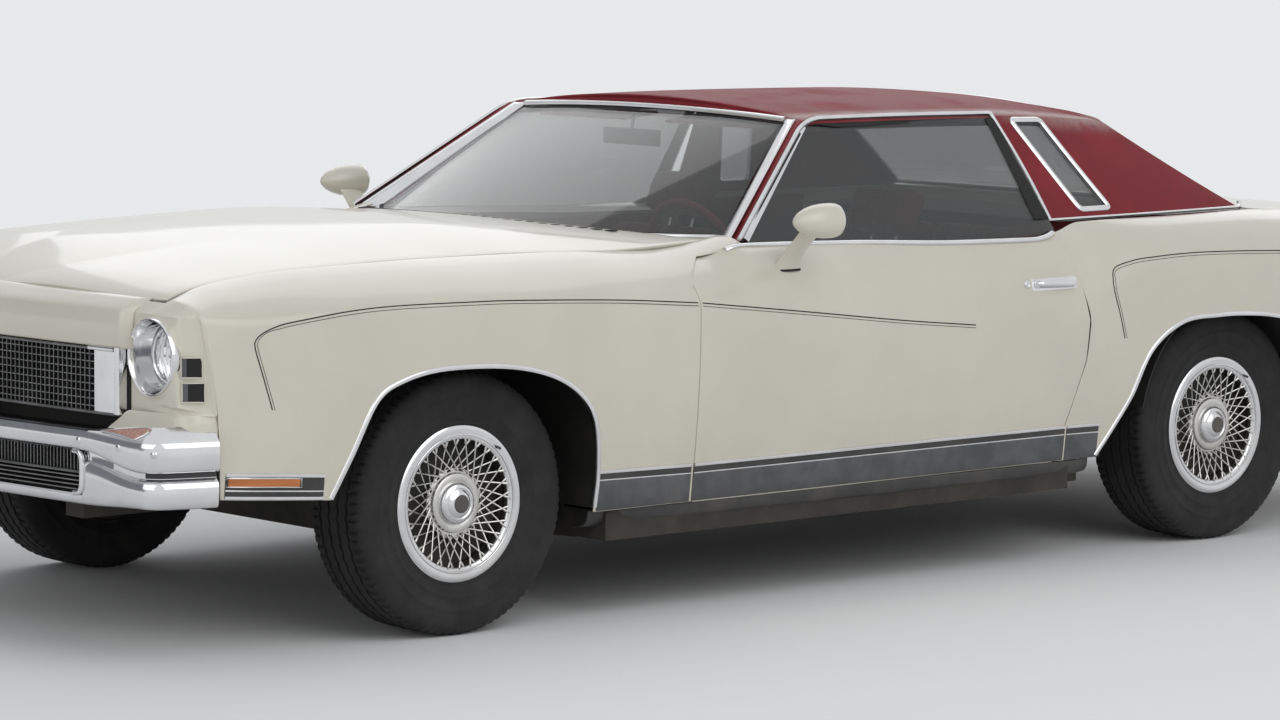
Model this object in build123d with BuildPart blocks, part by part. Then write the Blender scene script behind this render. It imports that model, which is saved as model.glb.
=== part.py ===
# Two-door coupe of the 1970s: body on a perimeter frame, all sizes in millimetres.
# X points forward, Y to the driver's left, Z up; the origin is on the ground below the middle.
from build123d import *
from math import cos, sin, radians, sqrt
import os

os.makedirs("parts", exist_ok=True)

# Wheels and axles
wheelbase = 2946.0
front_axle_x = 1596.0
rear_axle_x = front_axle_x - wheelbase
front_track = 1557.0
rear_track = 1542.0
tyre_radius = 346.0
tyre_width = 216.0
axle_z = tyre_radius
rim_radius = 200.0
rim_wall = 8.0
spindle_radius = 20.0
bearing_gap = 0.05
seat_gap = 0.3
kingpin_offset = 88.0
spoke_count = 18
spoke_size = 4.0
tyre_sides = 64

# Body shell
skin = 3.0
panel_gap = 7.0
bulkhead_gap = 0.4
hood_clear = 70.0
sill_line_z = 405.0
side_bottom_z = 300.0
bottom_tuck = 12.0
door_inner_y = 762.0
door_top_fall = 14.0
hood_edge_y = 760.0
hood_depth = 18.0
trunk_edge_y = 745.0
lid_depth = 18.0
glass = 5.0

# Greenhouse
belt_z = 985.0
rail_z = 1288.0
roof_wall = 34.0
screen_top_x = 148.0
screen_base_x = 545.0

# Frame and floor
front_rail_y = 430.0
front_rail_z = 340.0
frame_rail_z = 200.0
frame_rail_height = 100.0
floor_z = 305.0
floor_wall = 5.0
firewall_x = 1000.0
trunk_floor_z = 560.0
tank_bottom = 250.0

# Front and rear ends
nose_x = 2552.0
bumper_tip_x = 2672.0
bumper_end_x = 2434.0
tail_x = -2560.0
tail_wall = 6.0
jamb_x = -760.0
jamb_inner_y = 740.0


def bow(start, end, radius):
    """Middle point of the arc of that radius that bulges to the left of start to end reversed."""
    (y0, z0), (y1, z1) = start, end
    chord = sqrt((y1 - y0) ** 2 + (z1 - z0) ** 2)
    rise = radius - sqrt(radius ** 2 - chord ** 2 / 4)
    return ((y0 + y1) / 2 - (z1 - z0) / chord * rise, (z0 + z1) / 2 + (y1 - y0) / chord * rise)


def skin_section(row, wall):
    """Cross-section of a thin body side: top edge, crease, sill line, bottom edge."""
    x, top_y, top_z, crease_y, crease_z, sill_y, up_r, side_r = row
    top, crease, sill = (top_y, top_z), (crease_y, crease_z), (sill_y, sill_line_z)
    bottom = (sill_y - bottom_tuck, side_bottom_z)
    top_in, crease_in = (top_y, top_z - wall), (crease_y - wall, crease_z - wall)
    sill_in, bottom_in = (sill_y - wall, sill_line_z), (bottom[0] - wall, side_bottom_z)
    with BuildSketch(Plane.YZ.offset(x)) as section:
        with BuildLine():
            ThreePointArc(top, bow(top, crease, up_r), crease)
            ThreePointArc(crease, bow(crease, sill, side_r), sill)
            Line(sill, bottom)
            Line(bottom, bottom_in)
            Line(bottom_in, sill_in)
            ThreePointArc(sill_in, bow(crease_in, sill_in, side_r), crease_in)
            ThreePointArc(crease_in, bow(top_in, crease_in, up_r), top_in)
            Line(top_in, top)
        make_face()
    return section.sketch


def door_section(row):
    """Cross-section of a whole door: the same outside, with a flat trim panel inside."""
    x, top_y, top_z, crease_y, crease_z, sill_y, up_r, side_r = row
    top, crease, sill = (top_y, top_z), (crease_y, crease_z), (sill_y, sill_line_z)
    bottom = (sill_y - bottom_tuck, side_bottom_z)
    with BuildSketch(Plane.YZ.offset(x)) as section:
        with BuildLine():
            ThreePointArc(top, bow(top, crease, up_r), crease)
            ThreePointArc(crease, bow(crease, sill, side_r), sill)
            Line(sill, bottom)
            Line(bottom, (door_inner_y, side_bottom_z))
            Line((door_inner_y, side_bottom_z), (door_inner_y, top_z - door_top_fall))
            Line((door_inner_y, top_z - door_top_fall), top)
        make_face()
    return section.sketch


def lid_section(row, depth):
    """Cross-section of hood or trunk lid: centre height, crease each side, side edges."""
    x, centre_z, crease_y, crease_z, edge_y, edge_z = row
    with BuildSketch(Plane.YZ.offset(x)) as section:
        with BuildLine():
            Line((-edge_y, edge_z), (-crease_y, crease_z))
            ThreePointArc((-crease_y, crease_z), (0, centre_z), (crease_y, crease_z))
            Line((crease_y, crease_z), (edge_y, edge_z))
            Line((edge_y, edge_z), (edge_y, edge_z - depth))
            Line((edge_y, edge_z - depth), (crease_y, crease_z - depth))
            ThreePointArc((crease_y, crease_z - depth), (0, centre_z - depth), (-crease_y, crease_z - depth))
            Line((-crease_y, crease_z - depth), (-edge_y, edge_z - depth))
            Line((-edge_y, edge_z - depth), (-edge_y, edge_z))
        make_face()
    return section.sketch


def filled_section(row, inner_y):
    """What closes the body side between inner_y and the inside of its skin, at one row."""
    x, top_y, top_z, crease_y, crease_z, sill_y, up_r, side_r = row
    reach = skin + bulkhead_gap
    top = (max(top_y, inner_y + 1), top_z - reach)
    crease, sill = (crease_y - reach, crease_z - reach), (sill_y - reach, sill_line_z)
    with BuildSketch(Plane.YZ.offset(x)) as section:
        with BuildLine():
            ThreePointArc(top, bow(top, crease, up_r), crease)
            ThreePointArc(crease, bow(crease, sill, side_r), sill)
            Line(sill, (sill[0] - bottom_tuck, side_bottom_z))
            Line((sill[0] - bottom_tuck, side_bottom_z), (inner_y, side_bottom_z))
            Line((inner_y, side_bottom_z), (inner_y, top_z - hood_clear))
            Line((inner_y, top_z - hood_clear), (top[0], top_z - hood_clear))
            Line((top[0], top_z - hood_clear), top)
        make_face()
    return section.sketch


# Body side, one row for each cross-section, nose to tail:
# x, top_y, top_z, crease_y, crease_z, sill_y, up_r, side_r
fender_rows = [
    (2480, 784, 908, 925, 882, 908, 150, 2300),
    (2330, 762, 948, 952, 870, 938, 300, 2300),
    (2042, 760, 972, 972, 882, 952, 500, 2600),
    (1600, 760, 980, 983, 884, 957, 450, 2600),
    (1150, 760, 977, 984, 866, 958, 400, 2600),
    (856, 760, 966, 983, 839, 957, 306, 2600),
    (745, 760, 972, 982, 827, 956, 265, 2600),
    (600, 760, 996, 981, 810, 956, 210, 2600),
]
door_rows = [
    (856, 845, 946, 983, 839, 957, 306, 2600),
    (745, 846, 945, 982, 827, 956, 265, 2600),
    (600, 856, 975, 981, 810, 956, 210, 2600),
    (200, 868, 968, 976, 762, 951, 300, 2600),
    (-213, 884, 952, 964, 718, 946, 420, 2300),
    (-720, 890, 944, 955, 700, 944, 520, 2100),
]
quarter_rows = [
    (-540, 884, 948, 957, 702, 945, 480, 2100),
    (-640, 868, 958, 955, 710, 945, 500, 2100),
    (-760, 842, 980, 962, 790, 948, 400, 2100),
    (-925, 838, 982, 976, 862, 955, 260, 2300),
    (-1134, 836, 982, 984, 882, 960, 230, 2600),
    (-1450, 806, 983, 985, 872, 960, 260, 2600),
    (-1800, 745, 974, 979, 852, 957, 400, 2600),
    (-2200, 745, 934, 957, 815, 940, 420, 2300),
    (-2560, 745, 888, 922, 770, 908, 380, 2100),
]
# Hood and trunk lid: x, centre_z, crease_y, crease_z, edge_y, edge_z
hood_y = hood_edge_y - panel_gap
trunk_y = trunk_edge_y - panel_gap
hood_rows = [
    (2484, 922, 60, 921, hood_y, 912),
    (2330, 958, 150, 956, hood_y, 947),
    (2010, 1012, 290, 1006, hood_y, 973),
    (1614, 1042, 340, 1033, hood_y, 981),
    (1375, 1048, 380, 1038, hood_y, 981),
    (1000, 1028, 420, 1018, hood_y, 972),
    (630, 1004, 440, 1000, hood_y, 985),
]
lid_rows = [
    (-1612, 987, 400, 986, trunk_y, 982),
    (-1900, 982, 400, 979, trunk_y, 966),
    (-2300, 944, 400, 940, trunk_y, 922),
    (-2552, 908, 400, 903, trunk_y, 889),
]

# Door opening seen from the side: front edge and rear edge, top to bottom
door_front_plan = [(745, 845), (846, 940), (853, 1000)]
door_rear_side = [(-600, 1010), (-610, 959), (-652, 865), (-693, 705), (-678, 590), (-615, 434), (-565, 300)]


with BuildPart() as front_side:
    loft([skin_section(row, skin) for row in fender_rows])

with BuildPart() as rear_side:
    loft([skin_section(row, skin) for row in quarter_rows], ruled=True)

# Front fender: the side skin with its wheel arch, the header gap and the door gap cut away
with BuildPart() as fender_left:
    add(front_side.part)
    with BuildSketch(Plane.XZ) as arch:
        with BuildLine():
            Line((2150, 280), (1965, 632))
            ThreePointArc((1965, 632), (1640, 716), (1285, 622))
            ThreePointArc((1285, 622), (1222, 547), (1198, 412))
            Line((1198, 412), (1198, 280))
            Line((1198, 280), (2150, 280))
        make_face()
    extrude(amount=-1200, mode=Mode.SUBTRACT)
    with BuildSketch(Plane.XZ) as nose_cut:
        Polygon((2476, 960), (2424, 640), (2408, 428), (2080, 398), (2000, 280), (2600, 280), (2600, 960), align=None)
    extrude(amount=-1200, mode=Mode.SUBTRACT)
    with BuildSketch(Plane.XY.offset(200)) as door_gap:
        Polygon((853, 1000), (846, 940), (745, 845), (590, 850), (590, 1100), (853, 1100), align=None)
        offset(amount=panel_gap, kind=Kind.INTERSECTION)
    extrude(amount=1000, mode=Mode.SUBTRACT)

fender_left.part.label = "fender_left"
export_step(fender_left.part, "parts/fender_left.step")

with BuildPart() as fender_right:
    mirror(fender_left.part, about=Plane.XZ)
fender_right.part.label = "fender_right"
export_step(fender_right.part, "parts/fender_right.step")

# Rear quarter: the side skin with the rear wheel arch and the door's rear gap cut away
with BuildPart() as quarter_left:
    add(rear_side.part)
    with BuildSketch(Plane.XZ) as arch:
        with BuildLine():
            Line((-700, 280), (-925, 575))
            ThreePointArc((-925, 575), (-1010, 655), (-1120, 686))
            Line((-1120, 686), (-1464, 676))
            ThreePointArc((-1464, 676), (-1660, 590), (-1750, 430))
            Line((-1750, 430), (-1765, 280))
            Line((-1765, 280), (-700, 280))
        make_face()
    extrude(amount=-1200, mode=Mode.SUBTRACT)
    with BuildSketch(Plane.XZ) as door_gap:
        Polygon((-400, 1010), *door_rear_side, (-400, 300), align=None)
        offset(amount=panel_gap, kind=Kind.INTERSECTION)
    extrude(amount=-1200, mode=Mode.SUBTRACT)
    with BuildSketch(Plane.XZ) as tail_cut:
        Polygon((-1765, 290), (-2600, 290), (-2600, 440), (-1755, 335), align=None)
    extrude(amount=-1200, mode=Mode.SUBTRACT)
quarter_left.part.label = "quarter_left"
export_step(quarter_left.part, "parts/quarter_left.step")

with BuildPart() as quarter_right:
    mirror(quarter_left.part, about=Plane.XZ)
quarter_right.part.label = "quarter_right"
export_step(quarter_right.part, "parts/quarter_right.step")

# Door glass plane: runs from the belt up to the drip rail, on the slope of the greenhouse side
glass_base_y = 838.0
glass_top_y = 626.0
glass_drop = 70.0
glass_slope = (glass_base_y - glass_top_y) / (rail_z - belt_z)


def glass_y(z):
    """Half width of the side glass at height z."""
    return glass_base_y - glass_slope * (z - belt_z)


def glass_plate(thickness, grow):
    """Side glass as a slab between belt and rail, thicker by grow on each side for its slot."""
    low, high = belt_z - glass_drop, rail_z - panel_gap
    with BuildPart() as plate:
        with BuildSketch(Plane.YZ.offset(600)):
            Polygon(
                (glass_y(low) - grow, low - grow),
                (glass_y(low) + thickness + grow, low - grow),
                (glass_y(high) + thickness + grow, high),
                (glass_y(high) - grow, high),
                align=None,
            )
        extrude(amount=-1300)
    return plate.part


# Door hinges: a leaf from the pillar with an upright pin that turns in the door's nose
hinge_x, hinge_y = 785.0, 925.0
hinge_levels = (430.0, 780.0)
hinge_height = 30.0
hinge_width = 12.0
hinge_gap = 6.0
hinge_room = hinge_width + hinge_gap
pin_radius = 8.0
pin_reach = 20.0

# Door: whole thickness, with the slot that its glass rises from
with BuildPart() as door_left:
    loft([door_section(row) for row in door_rows], ruled=True)
    with BuildSketch(Plane.XZ) as outline:
        Polygon((900, 1010), *door_rear_side, (900, 300), align=None)
    extrude(amount=-1200, mode=Mode.INTERSECT)
    with BuildSketch(Plane.XY.offset(200)) as front_edge:
        Polygon(*door_front_plan, (900, 1100), (900, 600), (745, 600), align=None)
    extrude(amount=1000, mode=Mode.SUBTRACT)
    add(glass_plate(glass, seat_gap), mode=Mode.SUBTRACT)
    for level in hinge_levels:
        with BuildSketch(Plane.XY.offset(level - hinge_gap)) as hinge_notch:
            Polygon(
                (hinge_x - hinge_room, door_inner_y - 20), (900, door_inner_y - 20),
                (900, hinge_y + hinge_room), (hinge_x - hinge_room, hinge_y + hinge_room), align=None,
            )
        extrude(amount=hinge_height + 2 * hinge_gap, mode=Mode.SUBTRACT)
        with BuildSketch(Plane.XY.offset(level - pin_reach)) as pin_hole:
            with Locations((hinge_x, hinge_y)):
                Circle(pin_radius + bearing_gap)
        extrude(amount=hinge_height + 2 * pin_reach, mode=Mode.SUBTRACT)
    with BuildSketch(Plane.XZ.offset(-940)) as handle:
        with Locations((-557, 817)):
            Rectangle(160, 22)
    extrude(amount=-32)
door_left.part.label = "door_left"
export_step(door_left.part, "parts/door_left.step")

with BuildPart() as door_right:
    mirror(door_left.part, about=Plane.XZ)
door_right.part.label = "door_right"
export_step(door_right.part, "parts/door_right.step")

# Frameless door glass: front edge along the pillar, rear edge slants forward to the top
with BuildPart() as door_glass_left:
    add(glass_plate(glass, 0))
    with BuildSketch(Plane.XZ) as outline:
        Polygon((520, 900), (520, 990), (176, 1300), (-598, 1300), (-630, 1000), (-600, 900), align=None)
    extrude(amount=-1200, mode=Mode.INTERSECT)
door_glass_left.part.label = "door_glass_left"
export_step(door_glass_left.part, "parts/door_glass_left.step")

with BuildPart() as door_glass_right:
    mirror(door_glass_left.part, about=Plane.XZ)
door_glass_right.part.label = "door_glass_right"
export_step(door_glass_right.part, "parts/door_glass_right.step")

# Sport mirror on the door: a bullet head on a short stem that spreads to its foot on the door's shoulder
mirror_x, mirror_y, mirror_z = 478.0, 1040.0, 1046.0
# distance ahead of the middle, radius
mirror_profile = [(-52, 0), (-52, 40), (-44, 44), (-10, 43), (34, 32), (64, 15), (78, 0)]


def oval(half_length, half_width, sides=10):
    """Many-sided oval outline, for the stem's sections."""
    turns = [radians(360 / sides * k) for k in range(sides)]
    return Polygon(*[(half_length * cos(a), half_width * sin(a)) for a in turns], align=None)


with BuildPart() as mirror_left:
    with BuildSketch(Plane.XZ.offset(-mirror_y)):
        Polygon(*[(mirror_x + ahead, mirror_z + radius) for ahead, radius in mirror_profile], align=None)
    revolve(axis=Axis((mirror_x, mirror_y, mirror_z), (1, 0, 0)))
    for level, place, half_length, half_width in (
        (mirror_z - 10, (mirror_x, mirror_y - 10), 26, 18), (905, (mirror_x + 12, 922), 52, 20)
    ):
        with BuildSketch(Plane.XY.offset(level)):
            with Locations(place):
                oval(half_length, half_width)
    loft(ruled=True)
    add(door_left.part, mode=Mode.SUBTRACT)
    with BuildSketch(Plane.XY.offset(905)) as below_shoulder:
        with Locations((mirror_x, 930)):
            Rectangle(300, 300)
    extrude(amount=-200, mode=Mode.SUBTRACT)
mirror_left.part.label = "mirror_left"
export_step(mirror_left.part, "parts/mirror_left.step")

with BuildPart() as mirror_right:
    mirror(mirror_left.part, about=Plane.XZ)
mirror_right.part.label = "mirror_right"
export_step(mirror_right.part, "parts/mirror_right.step")

# Hood, creased each side of a raised middle, its corners cut back to the lamp panels
with BuildPart() as hood:
    loft([lid_section(row, hood_depth) for row in hood_rows])
    with BuildSketch(Plane.XY.offset(800)) as plan:
        with BuildLine():
            Line((2482, 0), (2482, 640))
            Line((2482, 640), (2446, hood_y))
            Line((2446, hood_y), (2446, 900))
            Line((2446, 900), (600, 900))
            Line((600, 900), (632, hood_y))
            ThreePointArc((632, hood_y), (820, 380), (872, 0))
            Line((872, 0), (2482, 0))
        make_face()
        mirror(about=Plane.XZ)
    extrude(amount=400, mode=Mode.INTERSECT)
hood.part.label = "hood"
export_step(hood.part, "parts/hood.step")

# Trunk lid with its turned-down rear lip
lid_lip_z = 843.0
with BuildPart() as trunk_lid:
    loft([lid_section(row, lid_depth) for row in lid_rows])
    with BuildSketch(Plane.YZ.offset(-2552)) as lip:
        with Locations((0, lid_lip_z + 25)):
            Rectangle(2 * trunk_y, 50)
    extrude(amount=lid_depth)
trunk_lid.part.label = "trunk_lid"
export_step(trunk_lid.part, "parts/trunk_lid.step")

# Glasshouse: roof, screen pillars and sail panels as one shell, covered with vinyl outside
# x, base_y, rail_y, rail_height, crown_z: cross-sections from the screen to the tail
roof_rows = [
    (600, 866, 640, 1290, 1330),
    (-100, 862, 632, 1292, 1344),
    (-650, 852, 622, 1286, 1340),
    (-1050, 842, 590, 1262, 1316),
    (-1620, 812, 520, 1210, 1262),
]


def roof_section(row, inset):
    """Cross-section of the glasshouse, drawn smaller by inset for its inside."""
    x, base_y, rail_y, rail_height, crown_z = row
    base = (base_y - inset, belt_z - 60)
    rail = (rail_y - inset * 0.8, rail_height - inset)
    with BuildSketch(Plane.YZ.offset(x)) as section:
        with BuildLine():
            Line((-base[0], base[1]), base)
            Line(base, rail)
            ThreePointArc(rail, (0, crown_z - inset), (-rail[0], rail[1]))
            Line((-rail[0], rail[1]), (-base[0], base[1]))
        make_face()
    return section.sketch


sail_window = [(-681, 1272), (-818, 1268), (-955, 1010), (-818, 1010)]
front_rail_x = screen_top_x + 57
with BuildPart() as roof:
    loft([roof_section(row, 0) for row in roof_rows], ruled=True)
    with BuildSketch(Plane.XZ) as profile:
        Polygon(
            (front_rail_x, 1400), (front_rail_x, rail_z), (-603, rail_z), (-662, belt_z), (-1560, belt_z),
            (-1028, 1308), (-960, 1400), align=None,
        )
    extrude(amount=900, both=True, mode=Mode.INTERSECT)
    with BuildSketch(Plane.XY.offset(1200)) as front_edge:
        with BuildLine():
            ThreePointArc((screen_top_x, 560), (screen_top_x + 34, 0), (screen_top_x, -560))
            Line((screen_top_x, -560), (400, -560))
            Line((400, -560), (400, 560))
            Line((400, 560), (screen_top_x, 560))
        make_face()
    extrude(amount=200, mode=Mode.SUBTRACT)
    loft([roof_section(row, roof_wall) for row in roof_rows], ruled=True, mode=Mode.SUBTRACT)
    with BuildSketch(Plane.XZ) as opera:
        Polygon(*sail_window, align=None)
    extrude(amount=900, both=True, mode=Mode.SUBTRACT)
    with BuildSketch(Plane.XY.offset(belt_z)) as pillar_foot:
        Polygon((552, 722), (597, 790), (580, 845), (529, 845), align=None)
        mirror(about=Plane.XZ)
    with BuildSketch(Plane.XY.offset(rail_z + 3)) as pillar_head:
        Polygon((152, 563), (190, 590), (206, 634), (199, 638), align=None)
        mirror(about=Plane.XZ)
    for foot, head in zip(
        pillar_foot.sketch.faces().sort_by(Axis.Y), pillar_head.sketch.faces().sort_by(Axis.Y)
    ):
        loft([foot, head], ruled=True)
roof.part.label = "roof"
export_step(roof.part, "parts/roof.step")

# Windscreen: curved in plan, standing on the cowl
with BuildPart() as windshield:
    for height, side_x, side_y, middle_x in (
        (belt_z, screen_base_x, 718, 868), (rail_z - 1, screen_top_x + 6, 556, screen_top_x + 42)
    ):
        with BuildSketch(Plane.XY.offset(height)):
            with BuildLine():
                ThreePointArc((side_x, side_y), (middle_x, 0), (side_x, -side_y))
                Line((side_x, -side_y), (side_x - glass, -side_y))
                ThreePointArc((side_x - glass, -side_y), (middle_x - glass, 0), (side_x - glass, side_y))
                Line((side_x - glass, side_y), (side_x, side_y))
            make_face()
    loft(ruled=True)
windshield.part.label = "windshield"
export_step(windshield.part, "parts/windshield.step")

# Rear window and the two sail windows
glass_sink = 12.0
with BuildPart() as rear_glass:
    loft([roof_section(row, roof_wall + seat_gap) for row in roof_rows], ruled=True)
    with BuildSketch(Plane.XZ) as pane:
        Polygon(
            (-1556 + glass_sink * 2, belt_z), (-1030, 1308 - glass_sink), (-1030 + 2 * glass, 1308 - glass_sink),
            (-1556 + glass_sink * 2 + 2 * glass, belt_z), align=None,
        )
    extrude(amount=900, both=True, mode=Mode.INTERSECT)
with BuildPart() as sail_panes:
    loft([roof_section(row, glass_sink) for row in roof_rows], ruled=True)
    loft([roof_section(row, glass_sink + glass) for row in roof_rows], ruled=True, mode=Mode.SUBTRACT)
    with BuildSketch(Plane.XZ) as opera:
        Polygon(*sail_window, align=None)
        offset(amount=-seat_gap, kind=Kind.INTERSECTION)
    extrude(amount=900, both=True, mode=Mode.INTERSECT)
with BuildPart() as rear_windows:
    add(rear_glass.part)
    add(sail_panes.part)
rear_windows.part.label = "rear_windows"
export_step(rear_windows.part, "parts/rear_windows.step")

# Cowl: plenum box under the hood's rear edge and a raised shelf that the screen stands on
cowl_y = 750.0
cowl_top = belt_z
cowl_deck = 940.0
cowl_bottom = 920.0
with BuildPart() as cowl:
    with BuildSketch(Plane.XY.offset(cowl_bottom)):
        with BuildLine():
            Line((500, -cowl_y), (firewall_x, -cowl_y))
            Line((firewall_x, -cowl_y), (firewall_x, cowl_y))
            Line((firewall_x, cowl_y), (500, cowl_y))
            ThreePointArc((500, cowl_y), (800, 0), (500, -cowl_y))
        make_face()
    extrude(amount=cowl_deck - cowl_bottom)
    with BuildSketch(Plane.XY.offset(cowl_deck)):
        with BuildLine():
            Line((500, -cowl_y), (624, -cowl_y))
            ThreePointArc((624, -cowl_y), (864 + 10, 0), (624, cowl_y))
            Line((624, cowl_y), (500, cowl_y))
            ThreePointArc((500, cowl_y), (800, 0), (500, -cowl_y))
        make_face()
    extrude(amount=cowl_top - cowl_deck)
cowl.part.label = "cowl"
export_step(cowl.part, "parts/cowl.step")

# Floor pan: cabin floor with tunnel, firewall, sills, hinge pillars, seat riser, trunk floor, wheelhouses
kick_x = 757.0
tunnel_end_x = -960.0
tunnel_top = 470.0
pillar_depth = 103.0
pillar_width = 138.0
pillar_face_y = 838.0
sill_top_z = side_bottom_z - 8
wheelhouse_radius = 400.0
wheelhouse_start = 12.0
wheelhouse_y = 600.0
wheelhouse_width = 324.0
with BuildPart() as floor_pan:
    with BuildSketch(Plane.XZ) as cabin_floor:
        Polygon(
            (firewall_x, floor_z), (firewall_x, cowl_bottom), (firewall_x - floor_wall, cowl_bottom),
            (firewall_x - floor_wall, floor_z + floor_wall), (-560, floor_z + floor_wall), (-600, 400), (-880, 405),
            (-1095, trunk_floor_z), (-1095, 940), (-1480, 940), (-1480, 935), (-1100, 935), (-1100, trunk_floor_z),
            (tail_x + tail_wall + seat_gap, trunk_floor_z), (tail_x + tail_wall + seat_gap, trunk_floor_z - floor_wall), (-1100, trunk_floor_z - floor_wall), (-884, 400), (-604, 395),
            (-565, floor_z), align=None,
        )
    extrude(amount=wheelhouse_y, both=True)
    with BuildSketch(Plane.XZ) as side_floor:
        Polygon(
            (firewall_x, floor_z), (firewall_x, cowl_bottom), (firewall_x - floor_wall, cowl_bottom),
            (firewall_x - floor_wall, floor_z + floor_wall), (-560, floor_z + floor_wall), (-600, 400), (-880, 405),
            (-880, 400), (-604, 395), (-565, floor_z), align=None,
        )
    extrude(amount=cowl_y, both=True)
    with BuildSketch(Plane.YZ.offset(tunnel_end_x)) as tunnel:
        Polygon((-150, floor_z), (-110, tunnel_top), (110, tunnel_top), (150, floor_z), align=None)
    extrude(amount=firewall_x - tunnel_end_x - floor_wall)
    with BuildSketch(Plane.YZ.offset(tunnel_end_x - 10)) as tunnel_inside:
        Polygon(
            (-145, floor_z - 30), (-145, floor_z), (-106, tunnel_top - floor_wall), (106, tunnel_top - floor_wall),
            (145, floor_z), (145, floor_z - 30), align=None,
        )
    extrude(amount=firewall_x - tunnel_end_x + 20, mode=Mode.SUBTRACT)
    for side in (1, -1):
        with BuildSketch(Plane.YZ.offset(-640)) as sill:
            with Locations((side * 838, (215 + sill_top_z) / 2)):
                Rectangle(176, sill_top_z - 215)
            with Locations((side * 750, 260)):
                Rectangle(10, 2 * (floor_z - 260))
        extrude(amount=640 + 1140)
        with BuildSketch(Plane.XY.offset(floor_z)) as hinge_pillar:
            with Locations((kick_x + pillar_depth / 2, side * (pillar_face_y - pillar_width / 2))):
                Rectangle(pillar_depth, pillar_width)
            with Locations(((kick_x + firewall_x) / 2, side * 745)):
                Rectangle(firewall_x - kick_x, floor_wall)
        extrude(amount=cowl_bottom - floor_z)
        for level in hinge_levels:
            with BuildSketch(Plane.XY.offset(level)) as hinge_leaf:
                with Locations((hinge_x, side * (pillar_face_y + hinge_y) / 2)):
                    Rectangle(2 * hinge_width, hinge_y - pillar_face_y)
                with Locations((hinge_x, side * hinge_y)):
                    Circle(hinge_width)
            extrude(amount=hinge_height)
            with BuildSketch(Plane.XY.offset(level - pin_reach)) as hinge_pin:
                with Locations((hinge_x, side * hinge_y)):
                    Circle(pin_radius)
            extrude(amount=hinge_height + 2 * pin_reach)
        low = radians(wheelhouse_start)
        rear_foot = (rear_axle_x - wheelhouse_radius * cos(low), axle_z + wheelhouse_radius * sin(low))
        front_foot = (rear_axle_x + wheelhouse_radius * cos(low), axle_z + wheelhouse_radius * sin(low))
        with BuildSketch(Plane.XZ.offset(-side * wheelhouse_y)) as wheelhouse:
            with BuildLine():
                CenterArc((rear_axle_x, axle_z), wheelhouse_radius, wheelhouse_start, 180 - 2 * wheelhouse_start)
                Line(rear_foot, front_foot)
            make_face()
        extrude(amount=-side * floor_wall)
        with BuildSketch(Plane.XZ.offset(-side * wheelhouse_y)) as wheelhouse_arch:
            add(wheelhouse.sketch)
            with Locations((rear_axle_x, axle_z)):
                Circle(wheelhouse_radius - floor_wall, mode=Mode.SUBTRACT)
        extrude(amount=-side * wheelhouse_width)
    for row in quarter_rows:
        if row[0] == jamb_x:
            for turn in (0, 1):
                jamb = extrude(filled_section(row, jamb_inner_y), amount=-floor_wall, mode=Mode.PRIVATE)
                add(jamb.mirror(Plane.XZ) if turn else jamb)
floor_pan.part.label = "floor_pan"
export_step(floor_pan.part, "parts/floor_pan.step")

# Inner fenders: engine bay sides with splash bulkheads that the front fenders sit against
bay_y = 484.0
bay_wall = 5.0
splash_x = 1150.0
bulkhead_x = 2330.0
pod_low_z, pod_high_z = 612.0, 908.0
pod_low_x, pod_high_x = 2426.0, 2475.0


def pod_back(z):
    """Rear face of the lamp pod at height z."""
    return pod_low_x + (pod_high_x - pod_low_x) * (z - pod_low_z) / (pod_high_z - pod_low_z)


with BuildPart() as inner_fenders:
    with BuildSketch(Plane.XZ.offset(-bay_y)):
        Polygon(
            (splash_x, 440), (splash_x, 900), (bulkhead_x, 880), (bulkhead_x, 440), align=None,
        )
    extrude(amount=-bay_wall)
    with BuildSketch(Plane.XZ) as arm_window:
        with Locations((front_axle_x, 500)):
            Rectangle(260, 160)
    extrude(amount=-1200, mode=Mode.SUBTRACT)
    for row in fender_rows:
        if row[0] == splash_x:
            extrude(filled_section(row, bay_y), amount=bay_wall)
        if row[0] == bulkhead_x:
            extrude(filled_section(row, bay_y), amount=-bay_wall)
    with BuildSketch(Plane.XZ):
        Polygon((2200, 200), (2200, 440), (2320, 480), (2400, 480), (2400, 200), align=None)
    extrude(amount=-1200, mode=Mode.SUBTRACT)
    with BuildSketch(Plane.XZ.offset(-720)) as header_bracket:
        Polygon(
            (bulkhead_x - bay_wall, 640), (pod_back(640) - seat_gap, 640), (pod_back(690) - seat_gap, 690),
            (bulkhead_x - bay_wall, 690), align=None,
        )
    extrude(amount=-60)
    mirror(about=Plane.XZ)
inner_fenders.part.label = "inner_fenders"
export_step(inner_fenders.part, "parts/inner_fenders.step")

# Radiator in its support panel, with two rubber stops that the hood rests on
hood_stop_height = 78.0
with BuildPart() as radiator:
    with BuildSketch(Plane.YZ.offset(2240)):
        with Locations((0, (front_rail_z + 90 + 880) / 2)):
            Rectangle(2 * bay_y - 2 * seat_gap, 880 - front_rail_z - 90)
    extrude(amount=4)
    with BuildSketch(Plane.YZ.offset(2180)):
        with Locations((0, 650)):
            Rectangle(700, 400)
    extrude(amount=60)
    with BuildSketch(Plane.XY.offset(880)) as hood_stops:
        with Locations((2242, 420), (2242, -420)):
            Circle(12)
    extrude(amount=hood_stop_height)
    with Locations((0, 0, -seat_gap)):
        add(hood.part, mode=Mode.SUBTRACT)
radiator.part.label = "radiator"
export_step(radiator.part, "parts/radiator.step")

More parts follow.
